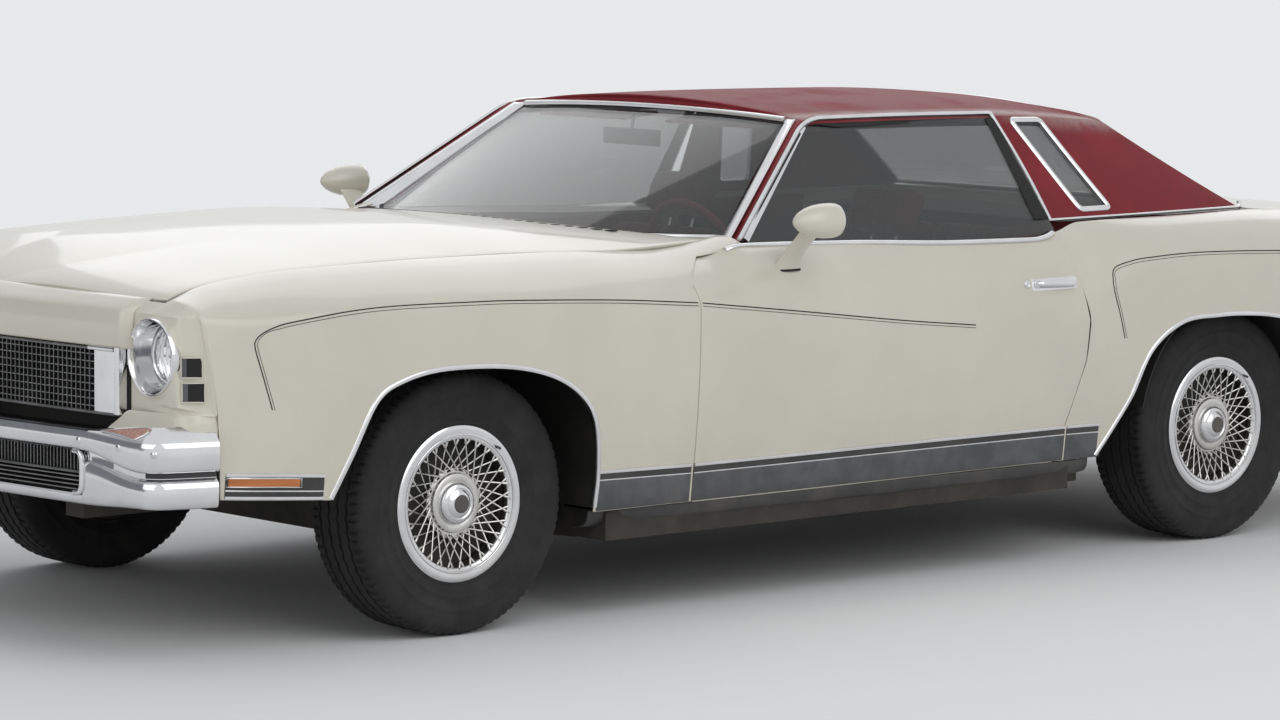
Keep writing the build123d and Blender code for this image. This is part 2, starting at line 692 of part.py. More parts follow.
# Engine as one plain block on the front crossmember, and gearbox with drive shaft
crossmember_top = front_rail_z + 2
engine_bottom = crossmember_top + seat_gap
gearbox_radius = 80.0
gearbox_z = 370.0
mount_top = gearbox_z - gearbox_radius - seat_gap
shaft_end_x = rear_axle_x + 130
with BuildPart() as engine:
    with BuildSketch(Plane.YZ.offset(1080)):
        Polygon(
            (-180, engine_bottom), (-290, 620), (-290, 760), (-180, 890), (180, 890), (290, 760), (290, 620),
            (180, engine_bottom), align=None,
        )
    extrude(amount=700)
engine.part.label = "engine"
export_step(engine.part, "parts/engine.step")

with BuildPart() as driveline:
    with BuildSketch(Plane.YZ.offset(1080)) as bell:
        with Locations((0, 380)):
            Circle(150)
    with BuildSketch(Plane.YZ.offset(1012)):
        with Locations((0, 370)):
            Circle(90)
    loft(ruled=True)
    with BuildSketch(Plane.YZ.offset(1012)):
        with Locations((0, gearbox_z)):
            Circle(gearbox_radius)
    extrude(amount=-612)
    with BuildSketch(Plane.YZ.offset(400)):
        with Locations((0, 362)):
            Circle(38)
    extrude(amount=shaft_end_x + seat_gap - 400)
driveline.part.label = "driveline"
export_step(driveline.part, "parts/driveline.step")

# Rear axle: tube, differential, spindles for the hubs, and two leaf springs up to the rails
rear_wheel_y = rear_track / 2
front_wheel_y = front_track / 2
rail_y = 520.0
rear_rail_z = 430.0
rear_rail_height = 70.0
with BuildPart() as rear_axle:
    with BuildSketch(Plane.XZ.offset(rear_wheel_y - 70)):
        with Locations((rear_axle_x, axle_z)):
            Circle(38)
    extrude(amount=-2 * (rear_wheel_y - 70))
    with BuildSketch(Plane.XZ.offset(rear_wheel_y + 46)):
        with Locations((rear_axle_x, axle_z)):
            Circle(spindle_radius)
    extrude(amount=-2 * (rear_wheel_y + 46))
    with BuildSketch(Plane.XZ.offset(90)):
        with Locations((rear_axle_x, axle_z)):
            Circle(130)
    extrude(amount=-180)
    for side in (1, -1):
        with BuildSketch(Plane.XY.offset(axle_z + 20)):
            with Locations((rear_axle_x, side * rail_y)):
                Circle(60)
        extrude(amount=rear_rail_z - axle_z - 20)
        with BuildSketch(Plane.XZ.offset(side * 420 + 25)):
            Polygon(
                (rear_axle_x, axle_z - 30), (rear_axle_x, axle_z + 20), (-760, 330), (-760, 290), align=None,
            )
        extrude(amount=-50)
rear_axle.part.label = "rear_axle"
export_step(rear_axle.part, "parts/rear_axle.step")

# Perimeter frame: side rails below the sills, kicked up over the rear axle and into the engine bay
with BuildPart() as frame:
    with BuildSketch(Plane.XY.offset(frame_rail_z)):
        with Locations((100, 690)):
            Rectangle(1960, 90)
        Polygon((1080, 735), (1180, 470), (1180, 390), (980, 645), align=None)
        Polygon((-880, 735), (-980, 560), (-980, 480), (-780, 645), align=None)
    extrude(amount=frame_rail_height)
    with BuildSketch(Plane.XZ.offset(-front_rail_y - 40)):
        Polygon(
            (1100, 200), (1100, 300), (1200, front_rail_z + 90), (2500, front_rail_z + 90),
            (2500, front_rail_z), (1240, front_rail_z), (1180, 200), align=None,
        )
    extrude(amount=80)
    with BuildSketch(Plane.XZ.offset(-rail_y - 40)):
        Polygon(
            (-900, 200), (-900, 300), (-1100, rear_rail_z + rear_rail_height),
            (-2545, rear_rail_z + rear_rail_height), (-2545, rear_rail_z), (-1080, rear_rail_z), (-980, 200), align=None,
        )
    extrude(amount=80)
    mirror(about=Plane.XZ)
    with BuildSketch(Plane.XY.offset(front_rail_z - 110)) as cross_front:
        with Locations((front_axle_x, 0)):
            Rectangle(150, 2 * front_rail_y)
    extrude(amount=crossmember_top - front_rail_z + 110)
    with BuildSketch(Plane.XY.offset(rear_rail_z)) as cross_rear:
        with Locations((-1620, 0), (-2480, 0)):
            Rectangle(60, 2 * rail_y)
    extrude(amount=rear_rail_height)
    with BuildSketch(Plane.XY.offset(frame_rail_z)) as cross_middle:
        with Locations((560, 0)):
            Rectangle(90, 2 * 690)
    extrude(amount=mount_top - frame_rail_z)
    for mount_x, mount_y, base in (
        (900, 690, frame_rail_z + frame_rail_height), (-600, 690, frame_rail_z + frame_rail_height)
    ):
        with BuildSketch(Plane.XY.offset(base)) as body_mounts:
            with Locations((mount_x, mount_y), (mount_x, -mount_y)):
                Circle(30)
        extrude(amount=floor_z - seat_gap - base)
    with BuildSketch(Plane.XY.offset(rear_rail_z + rear_rail_height)) as rear_mounts:
        with Locations((-2300, rail_y), (-2300, -rail_y)):
            Circle(30)
    extrude(amount=trunk_floor_z - floor_wall - seat_gap - rear_rail_z - rear_rail_height)
frame.part.label = "frame"
export_step(frame.part, "parts/frame.step")

# Front control arms with their ball joints on the kingpin line
kingpin_y = front_wheel_y - kingpin_offset
arm_height = 24.0
with BuildPart() as front_arms:
    for height, root_y, root_half, tip_half in ((240, front_rail_y, 75, 32), (450, front_rail_y + 10, 70, 28)):
        with BuildSketch(Plane.XY.offset(height)):
            Polygon(
                (front_axle_x - root_half, root_y), (front_axle_x + root_half, root_y),
                (front_axle_x + tip_half, kingpin_y), (front_axle_x - tip_half, kingpin_y), align=None,
            )
            with Locations((front_axle_x, kingpin_y)):
                Circle(tip_half)
        extrude(amount=arm_height)
    with BuildSketch(Plane.XY.offset(front_rail_z + 90)):
        with Locations((front_axle_x, front_rail_y + 15)):
            Rectangle(150, 50)
    extrude(amount=450 - front_rail_z - 90)
    mirror(about=Plane.XZ)
front_arms.part.label = "front_arms"
export_step(front_arms.part, "parts/front_arms.step")

# Steering knuckle between the ball joints, with the spindle that the front hub turns on
with BuildPart() as knuckle_left:
    with BuildSketch(Plane.XY.offset(240 + arm_height + seat_gap)):
        with Locations((front_axle_x, kingpin_y)):
            Circle(26)
    extrude(amount=450 - 240 - arm_height - 2 * seat_gap)
    with BuildSketch(Plane.XZ.offset(-kingpin_y)):
        with Locations((front_axle_x, axle_z)):
            Circle(spindle_radius)
    extrude(amount=-(kingpin_offset + 46))
    with BuildSketch(Plane.XZ.offset(-kingpin_y)):
        with Locations((front_axle_x, axle_z)):
            Circle(40)
    extrude(amount=-(kingpin_offset - 62))
knuckle_left.part.label = "knuckle_left"
export_step(knuckle_left.part, "parts/knuckle_left.step")

with BuildPart() as knuckle_right:
    mirror(knuckle_left.part, about=Plane.XZ)
knuckle_right.part.label = "knuckle_right"
export_step(knuckle_right.part, "parts/knuckle_right.step")

# Tyre: many-sided sections from bead to bead, outside and bore, as distance from the middle plane and radius
tyre_bead = rim_radius + seat_gap
tyre_half = tyre_width / 2
tyre_outside = [(-tyre_half, 296), (-tyre_half + 8, 326), (-80, tyre_radius), (80, tyre_radius), (tyre_half - 8, 326),
                (tyre_half, 296)]
tyre_bore = [(-tyre_half, 258), (-78, tyre_bead), (78, tyre_bead), (tyre_half, 258)]
with BuildPart() as tyre:
    for sections, how in ((tyre_outside, Mode.ADD), (tyre_bore, Mode.SUBTRACT)):
        for distance, radius in sections:
            with BuildSketch(Plane.XZ.offset(-distance)):
                RegularPolygon(radius, tyre_sides, major_radius=False, rotation=180 / tyre_sides)
        loft(ruled=True, mode=how)

# Wheel with wire cover: rim, disc, hub, stepped centre and crossed spokes, outboard towards +Y
cover_y = 84.0
hub_radius = 64.0
hub_bore = spindle_radius + bearing_gap
spoke_inner = 84.0
spoke_outer = 170.0
with BuildPart() as spoke_pair:
    for lean, inner_y, start_angle in ((26, 64, 0), (-26, 70, 180 / spoke_count)):
        start = Vector(spoke_inner * cos(radians(start_angle)), inner_y, spoke_inner * sin(radians(start_angle)))
        end_angle = radians(start_angle + lean)
        end = Vector(spoke_outer * cos(end_angle), cover_y + 2, spoke_outer * sin(end_angle))
        with BuildSketch(Plane(start, x_dir=(0, 1, 0), z_dir=(end - start))):
            Rectangle(spoke_size, spoke_size)
        extrude(amount=(end - start).length)

with BuildPart() as wheel:
    with BuildSketch(Plane.YZ):
        Polygon(
            (-95, rim_radius), (cover_y, rim_radius), (cover_y + 8, rim_radius + 6), (cover_y + 9, spoke_outer - 2),
            (cover_y - 2, spoke_outer - 6), (cover_y - 14, rim_radius - rim_wall), (-95, rim_radius - rim_wall),
            align=None,
        )
        Polygon(
            (8, hub_bore), (8, rim_radius - rim_wall / 2), (16, rim_radius - rim_wall / 2), (16, hub_bore), align=None,
        )
        Polygon(
            (-24, hub_bore), (-24, hub_radius), (60, hub_radius), (60, 92), (68, 92), (74, spoke_inner - 4),
            (74, 40), (96, 36), (100, 0), (50, 0), (50, hub_bore), align=None,
        )
    revolve(axis=Axis.Y)
    add([spoke_pair.part.rotate(Axis.Y, 360 / spoke_count * index) for index in range(spoke_count)])

for name, axle_x, wheel_y, turn in (
    ("front_left", front_axle_x, front_wheel_y, 0),
    ("front_right", front_axle_x, -front_wheel_y, 180),
    ("rear_left", rear_axle_x, rear_wheel_y, 0),
    ("rear_right", rear_axle_x, -rear_wheel_y, 180),
):
    for kind, shape in (("tyre", tyre), ("wheel", wheel)):
        with BuildPart() as corner:
            with Locations(Location((axle_x, wheel_y, axle_z), (0, 0, turn))):
                add(shape.part)
        corner.part.label = f"{kind}_{name}"
        export_step(corner.part, f"parts/{kind}_{name}.step")

# Header panel: nose strip between grille and hood, and a pod for the lamp at each side
lamp_x, lamp_y, lamp_z = 2518.0, 795.0, 779.0
lamp_radius = 94.0
grille_top = 792.0
grille_bottom = 622.0
grille_half = 692.0
pod_inner_y = 697.0
with BuildPart() as header_panel:
    with BuildSketch(Plane.XZ.offset(-pod_inner_y - 20)):
        Polygon(
            (nose_x, grille_top), (nose_x - 4, 886), (2489, 921), (2489, 903), (nose_x - 24, 876),
            (nose_x - 22, grille_top), align=None,
        )
    extrude(amount=pod_inner_y + 20)
    with BuildSketch(Plane.XY.offset(pod_low_z)) as pod_low:
        Polygon((pod_low_x, pod_inner_y), (2430, 926), (2474, 922), (2502, 902), (lamp_x, pod_inner_y), align=None)
    with BuildSketch(Plane.XY.offset(pod_high_z)) as pod_high:
        Polygon((pod_high_x, pod_inner_y), (2478, 912), (2484, 910), (2490, 896), (2524, pod_inner_y), align=None)
    loft(ruled=True)
    with BuildSketch(Plane.YZ.offset(2700)) as lamp_hole:
        with Locations((lamp_y, lamp_z)):
            Circle(lamp_radius + seat_gap)
    extrude(amount=-400, mode=Mode.SUBTRACT)
    with BuildSketch(Plane.YZ.offset(2472)) as side_pockets:
        with Locations((910, 757), (910, 696)):
            Rectangle(36, 46)
    extrude(amount=200, mode=Mode.SUBTRACT)
    mirror(about=Plane.XZ)
header_panel.part.label = "header_panel"
export_step(header_panel.part, "parts/header_panel.step")

# Round headlamps, each with its deep bezel cone and domed lens
lamp_plane = Plane((0, lamp_y, lamp_z), x_dir=(1, 0, 0), z_dir=(0, 0, 1))
with BuildPart() as headlamps:
    with BuildSketch(lamp_plane) as lamp_profile:
        with BuildLine():
            Polyline(
                (2436, 0), (2436, 60), (2470, lamp_radius), (lamp_x + 8, lamp_radius),
                (lamp_x + 8, lamp_radius - 6), (2474, lamp_radius - 20), (2488, 44), (2493, 16), (2493, 0),
                (2436, 0),
            )
        make_face()
    revolve(axis=Axis((0, lamp_y, lamp_z), (1, 0, 0)))
    mirror(about=Plane.XZ)
headlamps.part.label = "headlamps"
export_step(headlamps.part, "parts/headlamps.step")

# Grille: bright frame with a broad upright at each end, filled by a fine egg-crate
mesh_half = 592.0
grille_columns = 46
grille_rows = 6
bar_thickness = 4.0
grille_x = 2516.0
grille_middle_z = (grille_top + grille_bottom) / 2 - seat_gap
grille_height = grille_top - grille_bottom - 2 * seat_gap
with BuildPart() as grille:
    with BuildSketch(Plane.YZ.offset(grille_x)) as surround:
        with Locations((0, grille_middle_z)):
            Rectangle(2 * grille_half, grille_height)
            Rectangle(2 * mesh_half, grille_height - 16, mode=Mode.SUBTRACT)
    extrude(amount=40)
    with BuildSketch(Plane.YZ.offset(grille_x + 8)) as egg_crate:
        with Locations((0, grille_middle_z)):
            with GridLocations(2 * mesh_half / grille_columns, 1, grille_columns - 1, 1):
                Rectangle(bar_thickness, grille_height - 10)
            with GridLocations(1, grille_height / grille_rows, 1, grille_rows - 1):
                Rectangle(2 * mesh_half + 4, bar_thickness)
    extrude(amount=14)
grille.part.label = "grille"
export_step(grille.part, "parts/grille.step")


def bumper_band(level, height, outer, inner):
    """One level of the wrapped front bumper: outer and inner are insets from its tip line."""
    with BuildSketch(Plane.XY.offset(level)) as band:
        with BuildLine():
            tip, corner, end_y = bumper_tip_x, bumper_tip_x - 56, 962
            ThreePointArc((tip - outer, 0), (tip - 14 - outer, 420), (corner - outer, 852))
            Line((corner - outer, 852), (corner - 60 - outer, 925 - outer / 2))
            Line((corner - 60 - outer, 925 - outer / 2), (bumper_end_x, end_y - outer))
            Line((bumper_end_x, end_y - outer), (bumper_end_x, end_y - inner))
            Line((bumper_end_x, end_y - inner), (corner - 60 - inner, 925 - inner))
            Line((corner - 60 - inner, 925 - inner), (corner - inner, 852 - inner / 2))
            ThreePointArc((corner - inner, 852 - inner / 2), (tip - 14 - inner, 420), (tip - inner, 0))
            Line((tip - inner, 0), (tip - outer, 0))
        make_face()
        mirror(about=Plane.XZ)
    return extrude(band.sketch, amount=height, mode=Mode.PRIVATE)


# Front bumper in three levels: brow, ledge recess and lower face, with brackets to the frame rails
bumper_low, bumper_high = 400.0, 595.0
with BuildPart() as front_bumper:
    add(bumper_band(bumper_low, 116, 14, 34))
    add(bumper_band(bumper_low + 116, 14, 26, 34))
    add(bumper_band(bumper_low + 130, 65, 0, 34))
    add(bumper_band(bumper_high - 4, 4, 0, 108))
    with BuildSketch(Plane.YZ.offset(2500)):
        with Locations((front_rail_y, 442), (-front_rail_y, 442)):
            Rectangle(60, 60)
    extrude(amount=138)
front_bumper.part.label = "front_bumper"
export_step(front_bumper.part, "parts/front_bumper.step")

# Front lenses: parking lamps in the bumper brow and side markers in the lower fender
with BuildPart() as marker_lamps:
    with BuildSketch(Plane.XZ.offset(-925)) as side_marker:
        Polygon((2395, 482), (2395, 458), (2180, 440), (2180, 464), align=None)
    extrude(amount=-28)
    add(fender_left.part, mode=Mode.SUBTRACT)
    mirror(about=Plane.XZ)
marker_lamps.part.label = "marker_lamps"
export_step(marker_lamps.part, "parts/marker_lamps.step")

# Tail: panel between the quarters, deck panel below the rear window, lamps and rear bumper
tail_top = 838.0
tail_bottom = 440.0
panel_bottom = 502.0
tail_lamp_y = 835.0
stop_length = 22.0
with BuildPart() as tail_panels:
    extrude(filled_section(quarter_rows[-1], 0), amount=tail_wall)
    with BuildSketch(Plane.YZ.offset(tail_x)) as lid_sill:
        with Locations((trunk_edge_y / 2, tail_top - 40)):
            Rectangle(trunk_edge_y, 80)
    extrude(amount=tail_wall)
    with BuildSketch(Plane.YZ.offset(tail_x - 1)) as above_and_below:
        with Locations((0, tail_top + 200)):
            Rectangle(2 * (trunk_edge_y + 8), 400)
        with Locations((0, panel_bottom - 200)):
            Rectangle(2200, 400)
        with Locations((tail_lamp_y, 700)):
            Rectangle(96, 200)
    extrude(amount=20, mode=Mode.SUBTRACT)
    with BuildSketch(Plane.XY.offset(tail_top - 20)) as lid_stops:
        with Locations((tail_x + stop_length / 2, 600)):
            Rectangle(stop_length, 40)
    extrude(amount=lid_lip_z - seat_gap - tail_top + 20)
    mirror(about=Plane.XZ)
    loft([lid_section(row, 10) for row in (
        (-1606, 983.5, 400, 983, trunk_y, 979), (-1478, 984.5, 400, 984, trunk_y, 982))])
tail_panels.part.label = "tail_panels"
export_step(tail_panels.part, "parts/tail_panels.step")

with BuildPart() as tail_lamps:
    with BuildSketch(Plane.YZ.offset(tail_x - 14)):
        with Locations((tail_lamp_y, 700)):
            Rectangle(96 - 2 * seat_gap, 200 - 2 * seat_gap)
    extrude(amount=34)
    mirror(about=Plane.XZ)
tail_lamps.part.label = "tail_lamps"
export_step(tail_lamps.part, "parts/tail_lamps.step")

with BuildPart() as rear_bumper:
    for level, height, inset in ((tail_bottom - 10, 110, 14), (tail_bottom + 100, 14, 26), (tail_bottom + 114, 40, 0)):
        with BuildSketch(Plane.XY.offset(level)):
            with BuildLine():
                ThreePointArc((-bumper_tip_x + inset, 0), (-2664 + inset, 420), (-2640 + inset, 850))
                Line((-2640 + inset, 850), (-2602, 942 - inset / 2))
                Line((-2602, 942 - inset / 2), (-2440, 974 - inset / 2))
                Line((-2440, 974 - inset / 2), (-2440, 950))
                Line((-2440, 950), (-2574, 926))
                Line((-2574, 926), (-2600, 850))
                ThreePointArc((-2600, 850), (-2618, 420), (-2626, 0))
                Line((-2626, 0), (-bumper_tip_x + inset, 0))
            make_face()
            mirror(about=Plane.XZ)
        extrude(amount=height)
    with BuildSketch(Plane.YZ.offset(-2545)):
        with Locations((rail_y, tail_bottom + 25), (-rail_y, tail_bottom + 25)):
            Rectangle(60, 50)
    extrude(amount=-74)
rear_bumper.part.label = "rear_bumper"
export_step(rear_bumper.part, "parts/rear_bumper.step")

# Dashboard, steering wheel on its column
with BuildPart() as dashboard:
    with BuildSketch(Plane.XZ.offset(-740)):
        Polygon(
            (kick_x - seat_gap, 905), (540, 918), (486, 905), (470, 866), (520, 700), (640, 660),
            (kick_x - seat_gap, 660), align=None,
        )
    extrude(amount=2 * 740)
dashboard.part.label = "dashboard"
export_step(dashboard.part, "parts/dashboard.step")

wheel_hub = Vector(330, 380, 880)
column_plane = Plane(wheel_hub, x_dir=(0, 1, 0), z_dir=(-0.93, 0, 0.37))
with BuildPart() as steering_wheel:
    with BuildSketch(column_plane):
        Circle(196)
        Circle(174, mode=Mode.SUBTRACT)
        with Locations(Location((0, 0, 0), (0, 0, 0))):
            Rectangle(370, 26)
        Circle(52)
    extrude(amount=20)
    with BuildSketch(column_plane):
        Circle(28)
    extrude(amount=-160)
    add(dashboard.part, mode=Mode.SUBTRACT)
steering_wheel.part.label = "steering_wheel"
export_step(steering_wheel.part, "parts/steering_wheel.step")

# Seats: front pair with headrests, rear bench with its back
with BuildPart() as front_seats:
    with BuildSketch(Plane.XZ.offset(-700)):
        with BuildLine():
            FilletPolyline(
                (330, floor_z + 20), (350, 500), (-90, 470), (-330, 940), (-420, 920), (-260, floor_z + 20),
                close=True, radius=28,
            )
        make_face()
    extrude(amount=520)
    with BuildSketch(Plane.XZ.offset(-580)):
        Polygon((-336, 930), (-366, 1080), (-420, 1070), (-412, 915), align=None)
    extrude(amount=280)
    with BuildSketch(Plane.XY.offset(floor_z + floor_wall)):
        with Locations((0, 440)):
            Rectangle(400, 360)
    extrude(amount=30)
    mirror(about=Plane.XZ)
front_seats.part.label = "front_seats"
export_step(front_seats.part, "parts/front_seats.step")

rear_cushion_z = tunnel_top + seat_gap
with BuildPart() as rear_seat:
    with BuildSketch(Plane.XZ.offset(-590)):
        Polygon(
            (-560, rear_cushion_z), (-560, 590), (-900, 570), (-1020, 910), (-1088, 920), (-1088, 600),
            (-960, rear_cushion_z), align=None,
        )
    extrude(amount=1180)
rear_seat.part.label = "rear_seat"
export_step(rear_seat.part, "parts/rear_seat.step")

# Exhaust pipe with muffler and a wider tip, and fuel tank under the trunk floor
pipe_radius = 27.0
tip_radius = 30.0
tip_length = 200.0
pipe_end_x = -2620.0
exhaust_y = -300.0
exhaust_z = frame_rail_z - pipe_radius - seat_gap
with BuildPart() as exhaust:
    with BuildSketch(Plane.YZ.offset(1150)):
        with Locations((exhaust_y, exhaust_z)):
            Circle(pipe_radius)
    extrude(amount=pipe_end_x + tip_length - 1150)
    with BuildSketch(Plane.YZ.offset(pipe_end_x + tip_length)) as tip:
        with Locations((exhaust_y, exhaust_z)):
            Circle(tip_radius)
    extrude(amount=-tip_length)
    with BuildSketch(Plane.YZ.offset(-200)) as muffler:
        with Locations((exhaust_y, exhaust_z)):
            Ellipse(105, 55)
    extrude(amount=-480)
exhaust.part.label = "exhaust"
export_step(exhaust.part, "parts/exhaust.step")

with BuildPart() as fuel_tank:
    with BuildSketch(Plane.XY.offset(tank_bottom)):
        with Locations((-2080, 0)):
            RectangleRounded(620, 800, 60)
    extrude(amount=trunk_floor_z - floor_wall - seat_gap - tank_bottom)
fuel_tank.part.label = "fuel_tank"
export_step(fuel_tank.part, "parts/fuel_tank.step")
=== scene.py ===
# Two-door coupe of the 1970s: ivory paint, burgundy vinyl roof, wire wheel covers
# Shapes are worked out in millimetres and scaled to metres when a mesh is made
import bpy
import math
import numpy as np
from mathutils import Matrix, Vector


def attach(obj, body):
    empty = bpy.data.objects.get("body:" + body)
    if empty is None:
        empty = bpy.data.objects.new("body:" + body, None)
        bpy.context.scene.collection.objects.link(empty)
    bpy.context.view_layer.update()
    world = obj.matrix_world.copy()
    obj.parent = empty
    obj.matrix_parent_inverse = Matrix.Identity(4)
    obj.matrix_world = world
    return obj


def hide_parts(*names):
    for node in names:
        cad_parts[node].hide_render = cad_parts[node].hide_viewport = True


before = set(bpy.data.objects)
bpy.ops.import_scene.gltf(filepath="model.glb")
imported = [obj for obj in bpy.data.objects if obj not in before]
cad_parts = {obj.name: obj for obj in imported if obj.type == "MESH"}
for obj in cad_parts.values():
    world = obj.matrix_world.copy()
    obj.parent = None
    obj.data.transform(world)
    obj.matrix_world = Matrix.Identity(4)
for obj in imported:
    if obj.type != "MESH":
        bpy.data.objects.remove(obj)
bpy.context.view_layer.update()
metre = 0.001
scene = bpy.context.scene
print("frame loaded:", len(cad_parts), "nodes")


# Camera, floor and light

cameraPlace = dict(x=9.4723, y=10.4406, z=1.9829, yaw=228.3917, pitch=5.797, roll=0.478, lens=135.06,
                   sensor=36)


def makeCamera(c):
    # looks along yaw and pitch, then rolls about that line
    yaw, pitch, roll = (math.radians(c[k]) for k in ("yaw", "pitch", "roll"))
    look = Vector((math.cos(yaw) * math.cos(pitch), math.sin(yaw) * math.cos(pitch), -math.sin(pitch)))
    right = Vector((math.sin(yaw), -math.cos(yaw), 0))
    up = right.cross(look)
    rightRolled = right * math.cos(roll) + up * math.sin(roll)
    upRolled = up * math.cos(roll) - right * math.sin(roll)
    data = bpy.data.cameras.new("camera")
    data.lens = c["lens"]
    data.sensor_width = c["sensor"]
    data.clip_end = 1000
    camera = bpy.data.objects.new("camera", data)
    turn = Matrix((rightRolled, upRolled, -look)).transposed().to_4x4()
    camera.matrix_world = Matrix.Translation((c["x"], c["y"], c["z"])) @ turn
    scene.collection.objects.link(camera)
    scene.camera = camera


makeCamera(cameraPlace)

studio = dict(floorSize=300.0, floorColour=(0.93, 0.93, 0.93), worldColour=(0.86, 0.88, 0.91),
              worldStrength=0.52,
              seenColour=(0.80, 0.81, 0.82), shadeColour=(0.20, 0.21, 0.23), shadeYaw=-42, paleFrom=3.2,
              paleTo=12.0)
# name: place, size in metres, watts
lampTable = {
    "keySoft": ((1.0, 9.0, 7.0), 10.0, 330),
    "frontSoft": ((9.0, 1.5, 4.5), 6.0, 90),
    "rimSoft": ((-6.0, -6.0, 7.0), 9.0, 190),
}


def seenRays(tree):
    # 1 where a ray comes from the camera, a reflection or a pane of glass
    path = tree.nodes.new("ShaderNodeLightPath")
    total = mathNode(tree, "ADD", path.outputs["Is Camera Ray"], path.outputs["Is Glossy Ray"])
    return mathNode(tree, "ADD", total, path.outputs["Is Transmission Ray"], clamp=True)


def makeStudio(s):
    floorMesh = bpy.data.meshes.new("floor")
    half = s["floorSize"] / 2
    floorMesh.from_pydata([(-half, -half, 0), (half, -half, 0), (half, half, 0), (-half, half, 0)], [],
                          [(0, 1, 2, 3)])
    floor = bpy.data.objects.new("floor", floorMesh)
    scene.collection.objects.link(floor)
    floorMaterial = bpy.data.materials.new("studioFloor")
    floorMaterial.use_nodes = True
    shader = floorMaterial.node_tree.nodes["Principled BSDF"]
    shader.inputs["Base Color"].default_value = (*s["floorColour"], 1)
    shader.inputs["Roughness"].default_value = 0.9
    floorMesh.materials.append(floorMaterial)
    world = bpy.data.worlds.new("studio")
    scene.world = world
    world.use_nodes = True
    tree = world.node_tree
    ambient = tree.nodes["Background"]
    ambient.inputs["Color"].default_value = (*s["worldColour"], 1)
    ambient.inputs["Strength"].default_value = s["worldStrength"]
    # the surroundings are pale where metal and glass show them, and darker ahead of the nose in reflections
    yaw = math.radians(s["shadeYaw"])
    facing = tree.nodes.new("ShaderNodeVectorMath")
    facing.operation = "DOT_PRODUCT"
    facing.inputs[1].default_value = (math.cos(yaw), math.sin(yaw), 0)
    tree.links.new(tree.nodes.new("ShaderNodeTexCoord").outputs["Generated"], facing.inputs[0])
    glossy = tree.nodes.new("ShaderNodeLightPath").outputs["Is Glossy Ray"]
    ahead = mathNode(tree, "MULTIPLY", rampNode(tree, facing.outputs["Value"], 0.45, 0.85), glossy)
    shade = mixColour(tree, ahead, s["seenColour"], s["shadeColour"])
    seen = tree.nodes.new("ShaderNodeBackground")
    tree.links.new(shade, seen.inputs["Color"])
    mix = tree.nodes.new("ShaderNodeMixShader")
    tree.links.new(seenRays(tree), mix.inputs[0])
    tree.links.new(ambient.outputs[0], mix.inputs[1])
    tree.links.new(seen.outputs[0], mix.inputs[2])
    tree.links.new(mix.outputs[0], tree.nodes["World Output"].inputs["Surface"])
    # the floor turns the same pale tone away from the car
    tree = floorMaterial.node_tree
    distance = tree.nodes.new("ShaderNodeVectorMath")
    distance.operation = "LENGTH"
    tree.links.new(tree.nodes.new("ShaderNodeTexCoord").outputs["Object"], distance.inputs[0])
    far = rampNode(tree, mathNode(tree, "DIVIDE", distance.outputs["Value"], s["paleTo"]),
                   s["paleFrom"] / s["paleTo"], 1.0)
    glow = tree.nodes.new("ShaderNodeEmission")
    glow.inputs["Color"].default_value = (*s["seenColour"], 1)
    mix = tree.nodes.new("ShaderNodeMixShader")
    tree.links.new(mathNode(tree, "MULTIPLY", far, seenRays(tree)), mix.inputs[0])
    tree.links.new(shader.outputs[0], mix.inputs[1])
    tree.links.new(glow.outputs[0], mix.inputs[2])
    tree.links.new(mix.outputs[0], tree.nodes["Material Output"].inputs["Surface"])
    for name, (place, size, watts) in lampTable.items():
        light = bpy.data.lights.new(name, "AREA")
        light.size = size
        light.energy = watts
        lamp = bpy.data.objects.new(name, light)
        lamp.location = place
        lamp.rotation_mode = "QUATERNION"
        lamp.rotation_quaternion = (Vector((0, 0, 0.6)) - Vector(place)).to_track_quat("-Z", "Y")
        scene.collection.objects.link(lamp)
    scene.view_settings.view_transform = "Standard"


# Mesh helpers: a piece is a grid of points, a profile along a path, or a closed panel


def asLists(faces):
    return faces.tolist() if hasattr(faces, "tolist") else faces


def makePiece(name, shape, material, body="root", replaced="", smoothAngle=40):
    points, faces = shape
    mesh = bpy.data.meshes.new(name)
    mesh.from_pydata((np.asarray(points, float) * metre).tolist(), [], asLists(faces))
    mesh.validate()
    piece = bpy.data.objects.new(name, mesh)
    scene.collection.objects.link(piece)
    mesh.materials.append(material)
    mesh.polygons.foreach_set("use_smooth", np.ones(len(mesh.polygons), bool))
    mesh.set_sharp_from_angle(angle=math.radians(smoothAngle))
    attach(piece, body)
    if replaced:
        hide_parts(replaced)
    return piece


onDoor = "door_{side}"


def makePair(name, shape, material, body="root", replaced="", smoothAngle=40):
    # the left piece and its mirror image; {side} in the body and in the replaced node is filled in
    for side, s in (("left", shape), ("right", mirrored(shape))):
        makePiece(f"{name}.{side}", s, material, body.format(side=side), replaced.format(side=side),
                  smoothAngle)


def gridFaces(rows, columns, closedRows=False, closedColumns=False, start=0):
    # quads between neighbouring points of a grid, rows running slowest
    r = np.arange(rows if closedRows else rows - 1)
    c = np.arange(columns if closedColumns else columns - 1)
    a, b = np.meshgrid(r, c, indexing="ij")
    a2, b2 = (a + 1) % rows, (b + 1) % columns
    quads = np.stack([a * columns + b, a * columns + b2, a2 * columns + b2, a2 * columns + b], -1)
    return quads.reshape(-1, 4) + start


def unit(v):
    return v / np.maximum(np.linalg.norm(v, axis=-1, keepdims=True), 1e-9)


def gridNormals(grid):
    # cross product of the two grid directions
    return unit(np.cross(np.gradient(grid, axis=0), np.gradient(grid, axis=1)))


